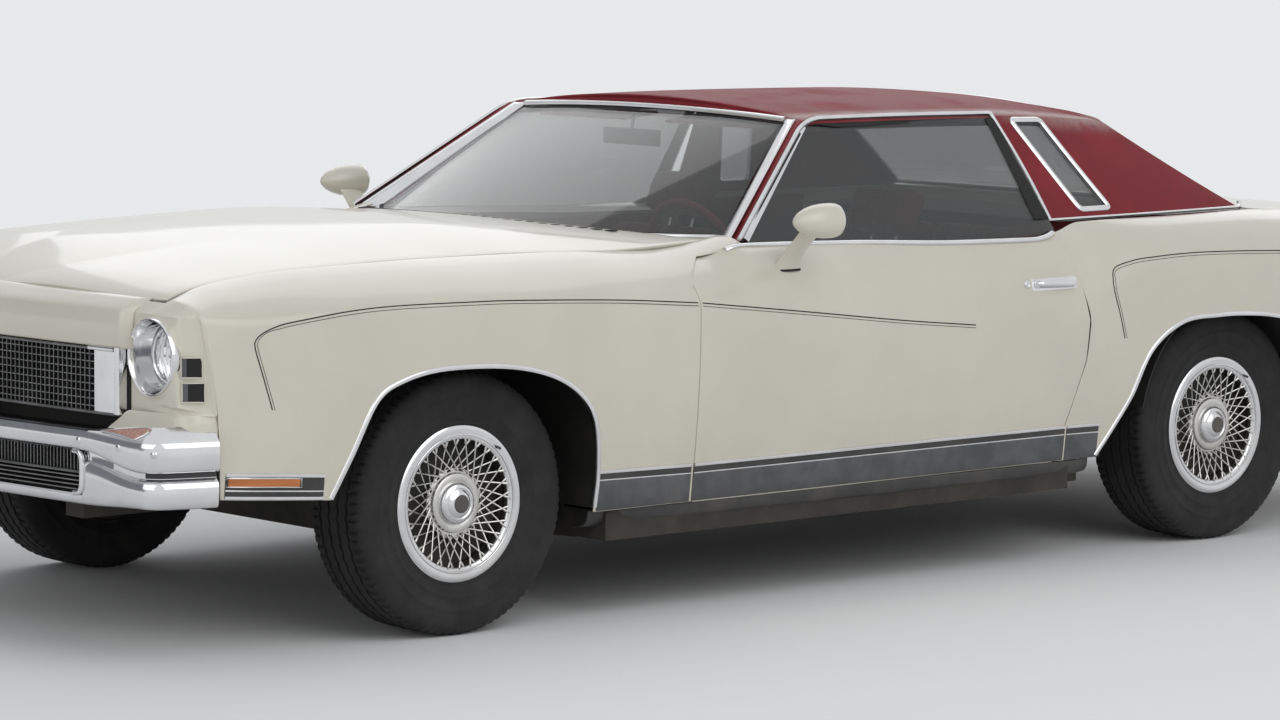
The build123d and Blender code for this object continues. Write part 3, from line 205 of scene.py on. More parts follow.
def borderIndex(rows, columns):
    # the grid's edge points in order, once round
    top = np.arange(columns)
    right = columns * np.arange(1, rows) + columns - 1
    bottom = (rows - 1) * columns + np.arange(columns - 2, -1, -1)
    left = columns * np.arange(rows - 2, 0, -1)
    return np.concatenate([top, right, bottom, left])


def panelMesh(outer, inner, radius=2.5):
    # closed panel: outer grid, inner grid, and a rounded edge that joins their borders
    rows, columns = outer.shape[:2]
    normal = gridNormals(outer)
    if np.mean(np.sum(normal * (outer - inner), -1)) < 0:
        outer, inner = outer[::-1], inner[::-1]
        normal = gridNormals(outer)
    ring = borderIndex(rows, columns)
    edge, low = outer.reshape(-1, 3)[ring], inner.reshape(-1, 3)[ring]
    tangent = unit(np.roll(edge, -1, 0) - np.roll(edge, 1, 0))
    away = unit(np.cross(tangent, normal.reshape(-1, 3)[ring]))
    centre = outer[1:-1, 1:-1].reshape(-1, 3).mean(0)
    if np.mean(np.sum(away * (edge - centre), -1)) < 0:
        away = -away
    down = unit(low - edge)
    strips = [edge + away * radius * math.sin(a) + down * radius * (1 - math.cos(a))
              for a in (0.52, 1.05, 1.57)]
    count, size = rows * columns, len(ring)
    points = np.concatenate([outer.reshape(-1, 3), inner.reshape(-1, 3), *strips])
    loops = [ring, *(2 * count + k * size + np.arange(size) for k in range(3)), count + ring]
    faces = [gridFaces(rows, columns), gridFaces(rows, columns)[:, ::-1] + count]
    for a, b in zip(loops[:-1], loops[1:]):
        faces.append(np.stack([np.roll(a, -1), a, b, np.roll(b, -1)], -1))
    return points, np.concatenate(faces)


def joined(*meshes):
    # several (points, faces) as one
    points, faces, start = [], [], 0
    for p, f in meshes:
        points.append(p)
        faces.extend([i + start for i in face] for face in asLists(f))
        start += len(p)
    return np.concatenate(points), faces


def mirrored(mesh):
    points, faces = mesh
    return points * (1, -1, 1), [list(f)[::-1] for f in faces]


def tubeFaces(rows, sides, closed=False):
    # quads round each step of a tube, and its two end faces unless it closes on itself
    faces = gridFaces(rows, sides, closedRows=closed, closedColumns=True).tolist()
    return faces if closed else faces + [list(range(sides))[::-1],
                                         [(rows - 1) * sides + k for k in range(sides)]]


def tube(path, radius, sides=12, closed=False, squash=1.0):
    # round or oval section carried along a path, its frame kept from twisting by a fixed up vector
    path = np.asarray(path, float)
    ahead = unit(np.roll(path, -1, 0) - np.roll(path, 1, 0)) if closed else unit(np.gradient(path, axis=0))
    up = np.array([0, 0, 1.0]) if np.abs(ahead[:, 2]).max() < 0.95 else np.array([0.31, 0.95, 0.05])
    side = unit(np.cross(ahead, up))
    top = np.cross(side, ahead)
    a = np.linspace(0, 2 * np.pi, sides, endpoint=False)
    r = np.broadcast_to(np.asarray(radius, float), (len(path),))[:, None, None]
    points = path[:, None] + r * (side[:, None] * np.cos(a)[None, :, None] + top[:, None] * squash
                                  * np.sin(a)[None, :, None])
    return points.reshape(-1, 3), tubeFaces(len(path), sides, closed)


def carried(profile, path, outward, closed=False):
    # a profile (across, out) carried along a path; out follows the outward directions given
    path, profile = np.asarray(path, float), np.asarray(profile, float)
    ahead = unit(np.roll(path, -1, 0) - np.roll(path, 1, 0)) if closed else unit(np.gradient(path, axis=0))
    out = np.broadcast_to(np.asarray(outward, float), path.shape)
    out = unit(out - ahead * np.sum(out * ahead, -1, keepdims=True))
    across = np.cross(out, ahead)
    points = path[:, None] + across[:, None] * profile[None, :, :1] + out[:, None] * profile[None, :, 1:]
    return points.reshape(-1, 3), tubeFaces(len(path), len(profile), closed)


def turned(profile, centre, axis, sides=96, start=0.0):
    # a closed profile (along, radius) revolved about an axis through the centre
    profile = np.asarray(profile, float)
    axis = unit(np.asarray(axis, float))
    side = unit(np.cross(axis, (0, 0, 1.0) if abs(axis[2]) < 0.9 else (1.0, 0, 0)))
    top = np.cross(axis, side)
    a = start + np.linspace(0, 2 * np.pi, sides, endpoint=False)
    ring = side[None] * np.cos(a)[:, None] + top[None] * np.sin(a)[:, None]
    points = np.asarray(centre, float) + profile[None, :, :1] * axis + profile[None, :, 1:] * ring[:, None]
    return points.reshape(-1, 3), gridFaces(sides, len(profile), closedRows=True, closedColumns=True).tolist()


def arcPoints(start, middle, end, count=24):
    # points on the circle through three points in a plane, from start to end
    (ax, ay), (bx, by), (cx, cy) = start, middle, end
    d = 2 * (ax * (by - cy) + bx * (cy - ay) + cx * (ay - by))
    ux = ((ax**2 + ay**2) * (by - cy) + (bx**2 + by**2) * (cy - ay) + (cx**2 + cy**2) * (ay - by)) / d
    uy = ((ax**2 + ay**2) * (cx - bx) + (bx**2 + by**2) * (ax - cx) + (cx**2 + cy**2) * (bx - ax)) / d
    a0, a1, a2 = (math.atan2(y - uy, x - ux) for x, y in (start, middle, end))
    sweep = (a2 - a0) % (2 * math.pi)
    if (a1 - a0) % (2 * math.pi) > sweep:
        sweep -= 2 * math.pi
    a = a0 + np.linspace(0, 1, count) * sweep
    r = math.hypot(ax - ux, ay - uy)
    return np.stack([ux + r * np.cos(a), uy + r * np.sin(a)], -1)


def smoothAcross(knots, values, at):
    # monotone cubic through the table's values, so that no bulge is added between rows
    knots, values, at = np.asarray(knots, float), np.asarray(values, float), np.asarray(at, float)
    if knots[0] > knots[-1]:
        knots, values = knots[::-1], values[::-1]
    step = np.diff(knots)
    slope = np.diff(values) / step
    tangent = np.zeros_like(values)
    inside = slope[:-1] * slope[1:] > 0
    with np.errstate(divide="ignore", invalid="ignore"):
        harmonic = 2 * slope[:-1] * slope[1:] / (slope[:-1] + slope[1:])
    tangent[1:-1] = np.where(inside, harmonic, 0)
    tangent[0], tangent[-1] = slope[0], slope[-1]
    k = np.clip(np.searchsorted(knots, at) - 1, 0, len(step) - 1)
    t = (at - knots[k]) / step[k]
    h = step[k]
    return (
        values[k] * (1 + 2 * t) * (1 - t) ** 2 + h * tangent[k] * t * (1 - t) ** 2
        + values[k + 1] * t * t * (3 - 2 * t) + h * tangent[k + 1] * t * t * (t - 1)
    )


def along(points, count):
    # evenly spaced points on a line through the given ones
    points = np.asarray(points, float)
    run = np.concatenate([[0], np.cumsum(np.linalg.norm(np.diff(points, axis=0), axis=1))])
    at = np.linspace(0, run[-1], count)
    return np.stack([np.interp(at, run, points[:, k]) for k in range(points.shape[1])], -1)


def curved(points, count):
    # smooth curve through the given points, evenly spaced along it
    points = np.asarray(points, float)
    ends = np.concatenate([[2 * points[0] - points[1]], points, [2 * points[-1] - points[-2]]])
    t = np.linspace(0, len(points) - 1, len(points) * 24)
    k = np.minimum(t.astype(int), len(points) - 2)
    f = (t - k)[:, None]
    p0, p1, p2, p3 = ends[k], ends[k + 1], ends[k + 2], ends[k + 3]
    fine = 0.5 * (2 * p1 + (p2 - p0) * f + (2 * p0 - 5 * p1 + 4 * p2 - p3) * f**2
                  + (3 * p1 - p0 - 3 * p2 + p3) * f**3)
    return along(fine, count)


# Shader node groups, each built once and placed in the materials with its own values

def newGroup(name, inputs, outputs):
    group = bpy.data.node_groups.new(name, "ShaderNodeTree")
    for label, value in inputs.items():
        isColour = isinstance(value, tuple)
        socket = group.interface.new_socket(
            label, in_out="INPUT", socket_type="NodeSocketColor" if isColour else "NodeSocketFloat")
        socket.default_value = (*value, 1) if isColour else value
    for label, kind in outputs.items():
        group.interface.new_socket(label, in_out="OUTPUT", socket_type=kind)
    start = group.nodes.new("NodeGroupInput")
    end = group.nodes.new("NodeGroupOutput")
    return group, start, end


def noiseNode(tree, place, scale, detail=3, roughness=0.5):
    node = tree.nodes.new("ShaderNodeTexNoise")
    node.inputs["Scale"].default_value = scale
    node.inputs["Detail"].default_value = detail
    node.inputs["Roughness"].default_value = roughness
    tree.links.new(place, node.inputs["Vector"])
    return node


def mathNode(tree, operation, a, b=0.0, c=None, clamp=False):
    node = tree.nodes.new("ShaderNodeMath")
    node.operation = operation
    node.use_clamp = clamp
    for k, value in enumerate((a, b, c)):
        if value is None:
            continue
        if isinstance(value, (int, float)):
            node.inputs[k].default_value = value
        else:
            tree.links.new(value, node.inputs[k])
    return node.outputs[0]


def mixColour(tree, factor, a, b):
    node = tree.nodes.new("ShaderNodeMix")
    node.data_type = "RGBA"
    for socket, value in ((node.inputs["Factor"], factor), (node.inputs[6], a), (node.inputs[7], b)):
        if isinstance(value, tuple):
            socket.default_value = (*value, 1)
        elif isinstance(value, (int, float)):
            socket.default_value = value
        else:
            tree.links.new(value, socket)
    return node.outputs[2]


def rampNode(tree, value, low, high):
    # a mask that rises from 0 at low to 1 at high
    node = tree.nodes.new("ShaderNodeMapRange")
    node.interpolation_type = "SMOOTHSTEP"
    tree.links.new(value, node.inputs["Value"])
    node.inputs["From Min"].default_value = low
    node.inputs["From Max"].default_value = high
    return node.outputs["Result"]


def objectPlace(tree):
    return tree.nodes.new("ShaderNodeTexCoord").outputs["Object"]


def heightOf(tree, place):
    node = tree.nodes.new("ShaderNodeSeparateXYZ")
    tree.links.new(place, node.inputs[0])
    return node.outputs


def makeDustGroup():
    # road dust and grime: more near the ground, broken up by noise
    group, start, end = newGroup(
        "roadDust", {"Base": (0.8, 0.8, 0.8), "Dust": (0.35, 0.31, 0.26), "Amount": 0.5, "Top": 0.45,
                     "Grain": 3.0},
        {"Colour": "NodeSocketColor", "Mask": "NodeSocketFloat"})
    place = objectPlace(group)
    height = heightOf(group, place)[2]
    low = mathNode(group, "SUBTRACT", 1.0, mathNode(group, "DIVIDE", height, start.outputs["Top"]),
                   clamp=True)
    noise = noiseNode(group, place, 1.0, 6, 0.62)
    group.links.new(start.outputs["Grain"], noise.inputs["Scale"])
    patches = rampNode(group, noise.outputs["Fac"], 0.35, 0.72)
    mask = mathNode(group, "MULTIPLY", mathNode(group, "ADD", low, 0.06),
                    mathNode(group, "ADD", patches, 0.25), clamp=True)
    mask = mathNode(group, "MULTIPLY", mask, start.outputs["Amount"], clamp=True)
    group.links.new(mixColour(group, mask, start.outputs["Base"], start.outputs["Dust"]),
                    end.inputs["Colour"])
    group.links.new(mask, end.inputs["Mask"])
    return group


def makeGrainGroup():
    # leather-like grain: small cells over a soft unevenness, for vinyl and trim
    group, start, end = newGroup("vinylGrain", {"Scale": 420.0, "Wear": 0.3},
                                 {"Height": "NodeSocketFloat", "Wear": "NodeSocketFloat"})
    place = objectPlace(group)
    cells = group.nodes.new("ShaderNodeTexVoronoi")
    cells.feature = "DISTANCE_TO_EDGE"
    group.links.new(place, cells.inputs["Vector"])
    group.links.new(start.outputs["Scale"], cells.inputs["Scale"])
    edges = rampNode(group, cells.outputs["Distance"], 0.0, 0.22)
    soft = noiseNode(group, place, 60, 3)
    height = mathNode(group, "ADD", mathNode(group, "MULTIPLY", edges, 0.7),
                      mathNode(group, "MULTIPLY", soft.outputs["Fac"], 0.5))
    patches = noiseNode(group, place, 5.0, 6, 0.65)
    wear = mathNode(group, "MULTIPLY", rampNode(group, patches.outputs["Fac"], 0.45, 0.75),
                    start.outputs["Wear"])
    group.links.new(height, end.inputs["Height"])
    group.links.new(wear, end.inputs["Wear"])
    return group


def makeFleckGroup():
    # uneven colour and small pits for metal, rubber and castings
    group, start, end = newGroup("fleck", {"Coarse": 9.0, "Fine": 160.0},
                                 {"Cloud": "NodeSocketFloat", "Pits": "NodeSocketFloat"})
    place = objectPlace(group)
    cloud = noiseNode(group, place, 1.0, 5, 0.6)
    group.links.new(start.outputs["Coarse"], cloud.inputs["Scale"])
    pits = noiseNode(group, place, 1.0, 3, 0.7)
    group.links.new(start.outputs["Fine"], pits.inputs["Scale"])
    group.links.new(cloud.outputs["Fac"], end.inputs["Cloud"])
    group.links.new(pits.outputs["Fac"], end.inputs["Pits"])
    return group


def makeWeaveGroup():
    # woven cloth: two crossed sets of ribs with a thread-to-thread colour change
    outputs = {"Height": "NodeSocketFloat", "Shade": "NodeSocketFloat"}
    group, start, end = newGroup("weave", {"Threads": 900.0}, outputs)
    place = heightOf(group, objectPlace(group))
    ribs = [mathNode(group, "SINE", mathNode(group, "MULTIPLY", socket,
                                             start.outputs["Threads"])) for socket in place]
    height = mathNode(group, "MULTIPLY", ribs[0], ribs[1])
    height = mathNode(group, "ADD", mathNode(group, "MULTIPLY", height, 0.5),
                      mathNode(group, "MULTIPLY", ribs[2], 0.4))
    cloud = noiseNode(group, objectPlace(group), 30, 4)
    group.links.new(height, end.inputs["Height"])
    group.links.new(cloud.outputs["Fac"], end.inputs["Shade"])
    return group


dustGroup, grainGroup = makeDustGroup(), makeGrainGroup()
fleckGroup, weaveGroup = makeFleckGroup(), makeWeaveGroup()


def startMaterial(name, **values):
    material = bpy.data.materials.new(name)
    material.use_nodes = True
    tree = material.node_tree
    shader = tree.nodes["Principled BSDF"]
    for label, value in values.items():
        socket = shader.inputs[label.replace("_", " ")]
        socket.default_value = (*value, 1) if isinstance(value, tuple) else value
    return material, tree, shader


def placeGroup(tree, group, **values):
    node = tree.nodes.new("ShaderNodeGroup")
    node.node_tree = group
    for label, value in values.items():
        if isinstance(value, (int, float)):
            node.inputs[label].default_value = value
        elif isinstance(value, tuple):
            node.inputs[label].default_value = (*value, 1)
        else:
            tree.links.new(value, node.inputs[label])
    return node


def bumpInto(tree, shader, height, strength, distance):
    bump = tree.nodes.new("ShaderNodeBump")
    bump.inputs["Strength"].default_value = strength
    bump.inputs["Distance"].default_value = distance
    tree.links.new(height, bump.inputs["Height"])
    tree.links.new(bump.outputs["Normal"], shader.inputs["Normal"])


def makePaint(name, colour, dust=0.55, top=0.5):
    # gloss paint under clear coat, slightly uneven, dusty towards the ground
    material, tree, shader = startMaterial(name, Roughness=0.36, Coat_Weight=0.55, Coat_Roughness=0.06)
    fleck = placeGroup(tree, fleckGroup, Coarse=2.2, Fine=70.0)
    darker = tuple(c * 0.93 for c in colour)
    base = mixColour(tree, rampNode(tree, fleck.outputs["Cloud"], 0.3, 0.7), darker, colour)
    dusty = placeGroup(tree, dustGroup, Base=base, Dust=(0.40, 0.35, 0.28), Amount=dust, Top=top, Grain=2.4)
    tree.links.new(dusty.outputs["Colour"], shader.inputs["Base Color"])
    tree.links.new(mathNode(tree, "ADD", 0.28, mathNode(tree, "MULTIPLY", dusty.outputs["Mask"], 0.5)),
                   shader.inputs["Roughness"])
    bumpInto(tree, shader, fleck.outputs["Cloud"], 0.06, 0.002)
    return material


def makeMetal(name, colour, roughness, spread=0.12, metallic=1.0, pits=0.02, tint=0.85, dust=0.25):
    # bright or dull metal with cloudy wear, fine pits and a little dust low down
    material, tree, shader = startMaterial(name, Metallic=metallic)
    fleck = placeGroup(tree, fleckGroup, Coarse=11.0, Fine=260.0)
    base = mixColour(tree, rampNode(tree, fleck.outputs["Cloud"], 0.35, 0.7), tuple(c * tint for c in colour),
                     colour)
    dusty = placeGroup(tree, dustGroup, Base=base, Dust=(0.25, 0.22, 0.18), Amount=dust, Top=0.6, Grain=5.0)
    tree.links.new(dusty.outputs["Colour"], shader.inputs["Base Color"])
    rough = mathNode(tree, "ADD", roughness, mathNode(tree, "MULTIPLY", fleck.outputs["Cloud"], spread))
    rough = mathNode(tree, "ADD", rough, mathNode(tree, "MULTIPLY", dusty.outputs["Mask"], 0.4))
    tree.links.new(rough, shader.inputs["Roughness"])
    bumpInto(tree, shader, fleck.outputs["Pits"], pits, 0.0006)
    return material


def makeVinyl(name, colour, faded, withEdgeHighlight=True):
    # grained vinyl, faded in patches, with a painted highlight along the sunlit side edge of the roof
    material, tree, shader = startMaterial(name, Roughness=0.6, Specular_IOR_Level=0.18)
    grain = placeGroup(tree, grainGroup, Scale=330.0, Wear=0.55)
    base = mixColour(tree, grain.outputs["Wear"], colour, faded)
    if withEdgeHighlight:
        # pale band along the roof's side edge above the drip rail: painted highlight of the sunlit edge, made
        # patchy like chalky fading
        place = heightOf(tree, objectPlace(tree))
        edge = mathNode(tree, "ABSOLUTE", mathNode(tree, "SUBTRACT", mathNode(tree, "ABSOLUTE", place[1]),
                                                   roofEdgeHighlight["y"]))
        near = mathNode(tree, "SUBTRACT", 1.0, mathNode(tree, "DIVIDE", edge, roofEdgeHighlight["width"]), clamp=True)
        high = rampNode(tree, place[2], roofEdgeHighlight["low"], roofEdgeHighlight["high"])
        noise = noiseNode(tree, objectPlace(tree), 14, 5, 0.7)
        band = mathNode(tree, "MULTIPLY", mathNode(tree, "MULTIPLY", near, high),
                        rampNode(tree, noise.outputs["Fac"], 0.24, 0.55))
        base = mixColour(tree, mathNode(tree, "MULTIPLY", band, 0.85, clamp=True), base, roofEdgeHighlight["colour"])
    tree.links.new(base, shader.inputs["Base Color"])
    tree.links.new(mathNode(tree, "ADD", 0.5, mathNode(tree, "MULTIPLY", grain.outputs["Wear"], 0.35)),
                   shader.inputs["Roughness"])
    bumpInto(tree, shader, grain.outputs["Height"], 0.35, 0.0012)
    return material


def makeCloth(name, colour, dark, threads=900.0):
    material, tree, shader = startMaterial(name, Roughness=0.9, Sheen_Weight=0.4)
    weave = placeGroup(tree, weaveGroup, Threads=threads)
    base = mixColour(tree, rampNode(tree, weave.outputs["Shade"], 0.3, 0.75), dark, colour)
    tree.links.new(mixColour(tree, rampNode(tree, weave.outputs["Height"], -0.6, 0.6), dark, base),
                   shader.inputs["Base Color"])
    bumpInto(tree, shader, weave.outputs["Height"], 0.4, 0.0008)
    return material


def makePlastic(name, colour, roughness=0.45, grainScale=700.0, bump=0.15, dust=0.2):
    material, tree, shader = startMaterial(name, Roughness=roughness)
    grain = placeGroup(tree, grainGroup, Scale=grainScale, Wear=0.25)
    base = mixColour(tree, grain.outputs["Wear"], colour, tuple(min(1, c * 1.6 + 0.03) for c in colour))
    dusty = placeGroup(tree, dustGroup, Base=base, Amount=dust, Top=0.6, Grain=6.0)
    tree.links.new(dusty.outputs["Colour"], shader.inputs["Base Color"])
    bumpInto(tree, shader, grain.outputs["Height"], bump, 0.0006)
    return material


def makeRubber(name, colour):
    # worn tyre rubber, greyer where dust has settled
    material, tree, shader = startMaterial(name, Roughness=0.82)
    fleck = placeGroup(tree, fleckGroup, Coarse=16.0, Fine=420.0)
    base = mixColour(tree, rampNode(tree, fleck.outputs["Cloud"], 0.35, 0.75), colour,
                     tuple(c * 1.6 + 0.004 for c in colour))
    dusty = placeGroup(tree, dustGroup, Base=base, Dust=(0.06, 0.055, 0.05), Amount=0.30, Top=0.9, Grain=9.0)
    tree.links.new(dusty.outputs["Colour"], shader.inputs["Base Color"])
    bumpInto(tree, shader, fleck.outputs["Pits"], 0.25, 0.0008)
    return material


def makeGlass(name, colour, alpha, roughness=0.02):
    # thin window glass: a tinted, mostly clear sheet that keeps its reflections
    material, tree, shader = startMaterial(
        name, Base_Color=colour, Roughness=roughness, Specular_IOR_Level=0.6, Coat_Weight=1.0,
        Coat_Roughness=0.0)
    film = noiseNode(tree, objectPlace(tree), 3.0, 5, 0.7)
    haze = mathNode(tree, "MULTIPLY", rampNode(tree, film.outputs["Fac"], 0.5, 0.85), 0.06)
    tree.links.new(mathNode(tree, "ADD", alpha, haze),
                   shader.inputs["Alpha"])
    return material


def makeLens(name, colour, ribs, transmission=0.75):
    # moulded lamp lens: coloured, ribbed across
    material, tree, shader = startMaterial(
        name, Base_Color=colour, Roughness=0.12, Transmission_Weight=transmission, IOR=1.49, Coat_Weight=0.5)
    place = heightOf(tree, objectPlace(tree))
    wave = mathNode(tree, "SINE", mathNode(tree, "MULTIPLY", place[1], ribs))
    cross = mathNode(tree, "SINE", mathNode(tree, "MULTIPLY", place[2], ribs * 0.7))
    cloud = noiseNode(tree, objectPlace(tree), 20, 3)
    tree.links.new(mixColour(tree, rampNode(tree, cloud.outputs["Fac"], 0.2, 0.8),
                             tuple(c * 0.8 for c in colour), colour),
                   shader.inputs["Base Color"])
    bumpInto(tree, shader, mathNode(tree, "ADD", wave, mathNode(tree, "MULTIPLY", cross, 0.6)), 0.5, 0.002)
    return material


# where the painted highlight lies along the roof's side edge, and its colour
roofEdgeHighlight = dict(y=0.580, width=0.060, low=1.20, high=1.26, colour=(0.56, 0.43, 0.41))
ivory = (0.70, 0.665, 0.565)
paint = makePaint("ivoryPaint", ivory)
vinyl = makeVinyl("burgundyVinyl", (0.215, 0.018, 0.026), (0.34, 0.048, 0.060))
pillarVinyl = makeVinyl("pillarVinyl", (0.25, 0.03, 0.038), (0.34, 0.09, 0.09), withEdgeHighlight=False)
chrome = makeMetal("chrome", (0.80, 0.80, 0.81), 0.06, spread=0.10, pits=0.015, tint=0.92)
brightTrim = makeMetal("brightTrim", (0.78, 0.78, 0.78), 0.14, spread=0.14, tint=0.88)
spokeMetal = makeMetal("spokeMetal", (0.80, 0.79, 0.77), 0.16, spread=0.16, tint=0.8, dust=0.5)
darkTrim = makePlastic("darkTrim", (0.025, 0.025, 0.027), 0.42, bump=0.08)
blackGap = makePlastic("blackGap", (0.008, 0.008, 0.008), 0.8, bump=0.05, dust=0.05)
brushedBand = makeMetal("brushedBand", (0.16, 0.165, 0.175), 0.36, spread=0.2, pits=0.08, tint=0.7, dust=0.25)
meshMetal = makeMetal("grilleMetal", (0.30, 0.30, 0.30), 0.30, spread=0.2, tint=0.7)
tyreRubber = makeRubber("tyreRubber", (0.0075, 0.0075, 0.008))
clearGlass = makeGlass("clearGlass", (0.035, 0.045, 0.045), 0.36)
sideGlass = makeGlass("sideGlass", (0.02, 0.028, 0.030), 0.46)
lampGlass = makeLens("lampGlass", (0.88, 0.90, 0.90), 260.0, 0.9)
amberLens = makeLens("amberLens", (0.82, 0.25, 0.045), 420.0, 0.3)
parkingLens = makeLens("parkingLens", (0.72, 0.38, 0.30), 420.0, 0.35)
redLens = makeLens("redLens", (0.50, 0.012, 0.015), 300.0, 0.3)
reflector = makeMetal("reflector", (0.86, 0.86, 0.86), 0.10, spread=0.08)
mirrorGlass = makeMetal("mirrorGlass", (0.85, 0.87, 0.88), 0.02, spread=0.02, pits=0.0, tint=0.97, dust=0.05)
dashVinyl = makePlastic("dashVinyl", (0.21, 0.022, 0.028), 0.5, 500.0, 0.2, 0.05)
trimVinyl = makePlastic("trimVinyl", (0.26, 0.045, 0.040), 0.55, 420.0, 0.25, 0.05)
seatCloth = makeCloth("seatCloth", (0.34, 0.085, 0.055), (0.17, 0.035, 0.026))
carpet = makeCloth("carpet", (0.13, 0.022, 0.022), (0.05, 0.010, 0.010), 2600.0)
headliner = makeCloth("headliner", (0.32, 0.09, 0.08), (0.20, 0.05, 0.045), 1500.0)
dialFace = makePlastic("dialFace", (0.012, 0.012, 0.013), 0.3, 900.0, 0.03, 0.0)
chassisBlack = makeMetal("chassisBlack", (0.022, 0.021, 0.020), 0.6, spread=0.25, metallic=0.1, pits=0.2,
                         tint=0.6, dust=0.22)
ironGrey = makeMetal("ironGrey", (0.15, 0.145, 0.14), 0.5, spread=0.3, metallic=0.6, pits=0.3, tint=0.7,
                     dust=0.4)
pipeSteel = makeMetal("pipeSteel", (0.24, 0.20, 0.17), 0.5, spread=0.3, metallic=0.8, pits=0.3, tint=0.55,
                      dust=0.4)
print("materials made:", len(bpy.data.materials))

makeStudio(studio)


# Closed panel from any welded set of quads: outer faces, inner faces and a rounded edge between

def weld(points, faces):
    _, first, back = np.unique(np.round(points, 2), axis=0, return_index=True, return_inverse=True)
    faces = back.reshape(-1)[faces]
    return points[first], faces


def sheetPanel(points, faces, thickness=5.0, radius=2.5, hint=(0, 0, 1)):
    # hint is a direction that the outside faces on the whole
    points, faces = weld(points, np.asarray(faces))
    a, b, c, d = (points[faces[:, k]] for k in range(4))
    faceNormal = np.cross(c - a, d - b)
    if np.sum(faceNormal @ np.asarray(hint, float)) < 0:
        faces, faceNormal = faces[:, ::-1], -faceNormal
    normal = np.zeros_like(points)
    for k in range(4):
        np.add.at(normal, faces[:, k], faceNormal)
    normal = unit(normal)
    edges = np.concatenate([np.stack([faces[:, k], faces[:, (k + 1) % 4]], -1) for k in range(4)])
    edges = edges[edges[:, 0] != edges[:, 1]]
    codes = edges[:, 0].astype(np.int64) * len(points) + edges[:, 1]
    reverse = edges[:, 1].astype(np.int64) * len(points) + edges[:, 0]
    rim = edges[~np.isin(codes, reverse)]
    away = np.zeros_like(points)
    outward = np.cross(points[rim[:, 1]] - points[rim[:, 0]], normal[rim[:, 0]])
    for k in range(2):
        np.add.at(away, rim[:, k], unit(outward))
    away = unit(away)
    inner = points - normal * thickness
    ring = np.unique(rim)
    place = {v: k for k, v in enumerate(ring.tolist())}
    rimIndex = np.array([[place[i] for i in pair] for pair in rim.tolist()])
    strips = [points[ring] + away[ring] * radius * math.sin(t) - normal[ring] * radius * (1 - math.cos(t))
              for t in (0.52, 1.05, 1.57)]
    count, size = len(points), len(ring)
    loops = [rim, *(2 * count + k * size + rimIndex for k in range(3)), rim + count]
    allFaces = [faces, faces[:, ::-1] + count]
    for near, far in zip(loops[:-1], loops[1:]):
        allFaces.append(np.stack([near[:, 1], near[:, 0], far[:, 0], far[:, 1]], -1))
    return np.concatenate([points, inner, *strips]), np.concatenate(allFaces)


def gridSheet(grid, **options):
    return sheetPanel(grid.reshape(-1, 3), gridFaces(*grid.shape[:2]), **options)


# Body side: cross-sections walked by s, from the bottom edge (0) past the sill line (1) and the
# crease (2) to the top edge (3); rows are x, top y and z, crease y and z, sill y, upper and lower radius

sillLine, sideBottom, bottomTuck = 405.0, 300.0, 12.0
sideTables = {
    "fender": [
        (2480, 784, 908, 925, 882, 908, 150, 2300), (2330, 762, 948, 952, 870, 938, 300, 2300),
        (2042, 760, 972, 972, 882, 952, 500, 2600), (1600, 760, 980, 983, 884, 957, 450, 2600),
        (1150, 760, 977, 984, 866, 958, 400, 2600), (856, 760, 966, 983, 839, 957, 306, 2600),
        (745, 760, 972, 982, 827, 956, 265, 2600), (600, 760, 996, 981, 810, 956, 210, 2600),
    ],
    "door": [
        (856, 845, 946, 983, 839, 957, 306, 2600), (745, 846, 945, 982, 827, 956, 265, 2600),
        (600, 856, 975, 981, 810, 956, 210, 2600), (200, 868, 968, 976, 762, 951, 300, 2600),
        (-213, 884, 952, 964, 718, 946, 420, 2300), (-720, 890, 944, 955, 700, 944, 520, 2100),
    ],
    "quarter": [
        (-540, 884, 948, 957, 702, 945, 480, 2100), (-640, 868, 958, 955, 710, 945, 500, 2100),
        (-760, 842, 980, 962, 790, 948, 400, 2100), (-925, 838, 982, 976, 862, 955, 260, 2300),
        (-1134, 836, 982, 984, 882, 960, 230, 2600), (-1450, 806, 983, 985, 872, 960, 260, 2600),
        (-1800, 745, 974, 979, 852, 957, 400, 2600), (-2200, 745, 934, 957, 815, 940, 420, 2300),
        (-2560, 745, 888, 922, 770, 908, 380, 2100),
    ],
}


def bulge(a, b, radius, f):
    # point at f along the arc of that radius from a to b, bulging outward
    chord = b - a
    length = np.linalg.norm(chord, axis=-1)
    ahead = chord / length[..., None]
    out = np.stack([ahead[..., 1], -ahead[..., 0]], -1)
    half = np.arcsin(np.clip(length / 2 / radius, 0, 1))
    turn = (2 * f - 1) * half
    rise = radius * (np.cos(turn) - np.cos(half))
    return (a + b) / 2 + ahead * (radius * np.sin(turn))[..., None] + out * rise[..., None]


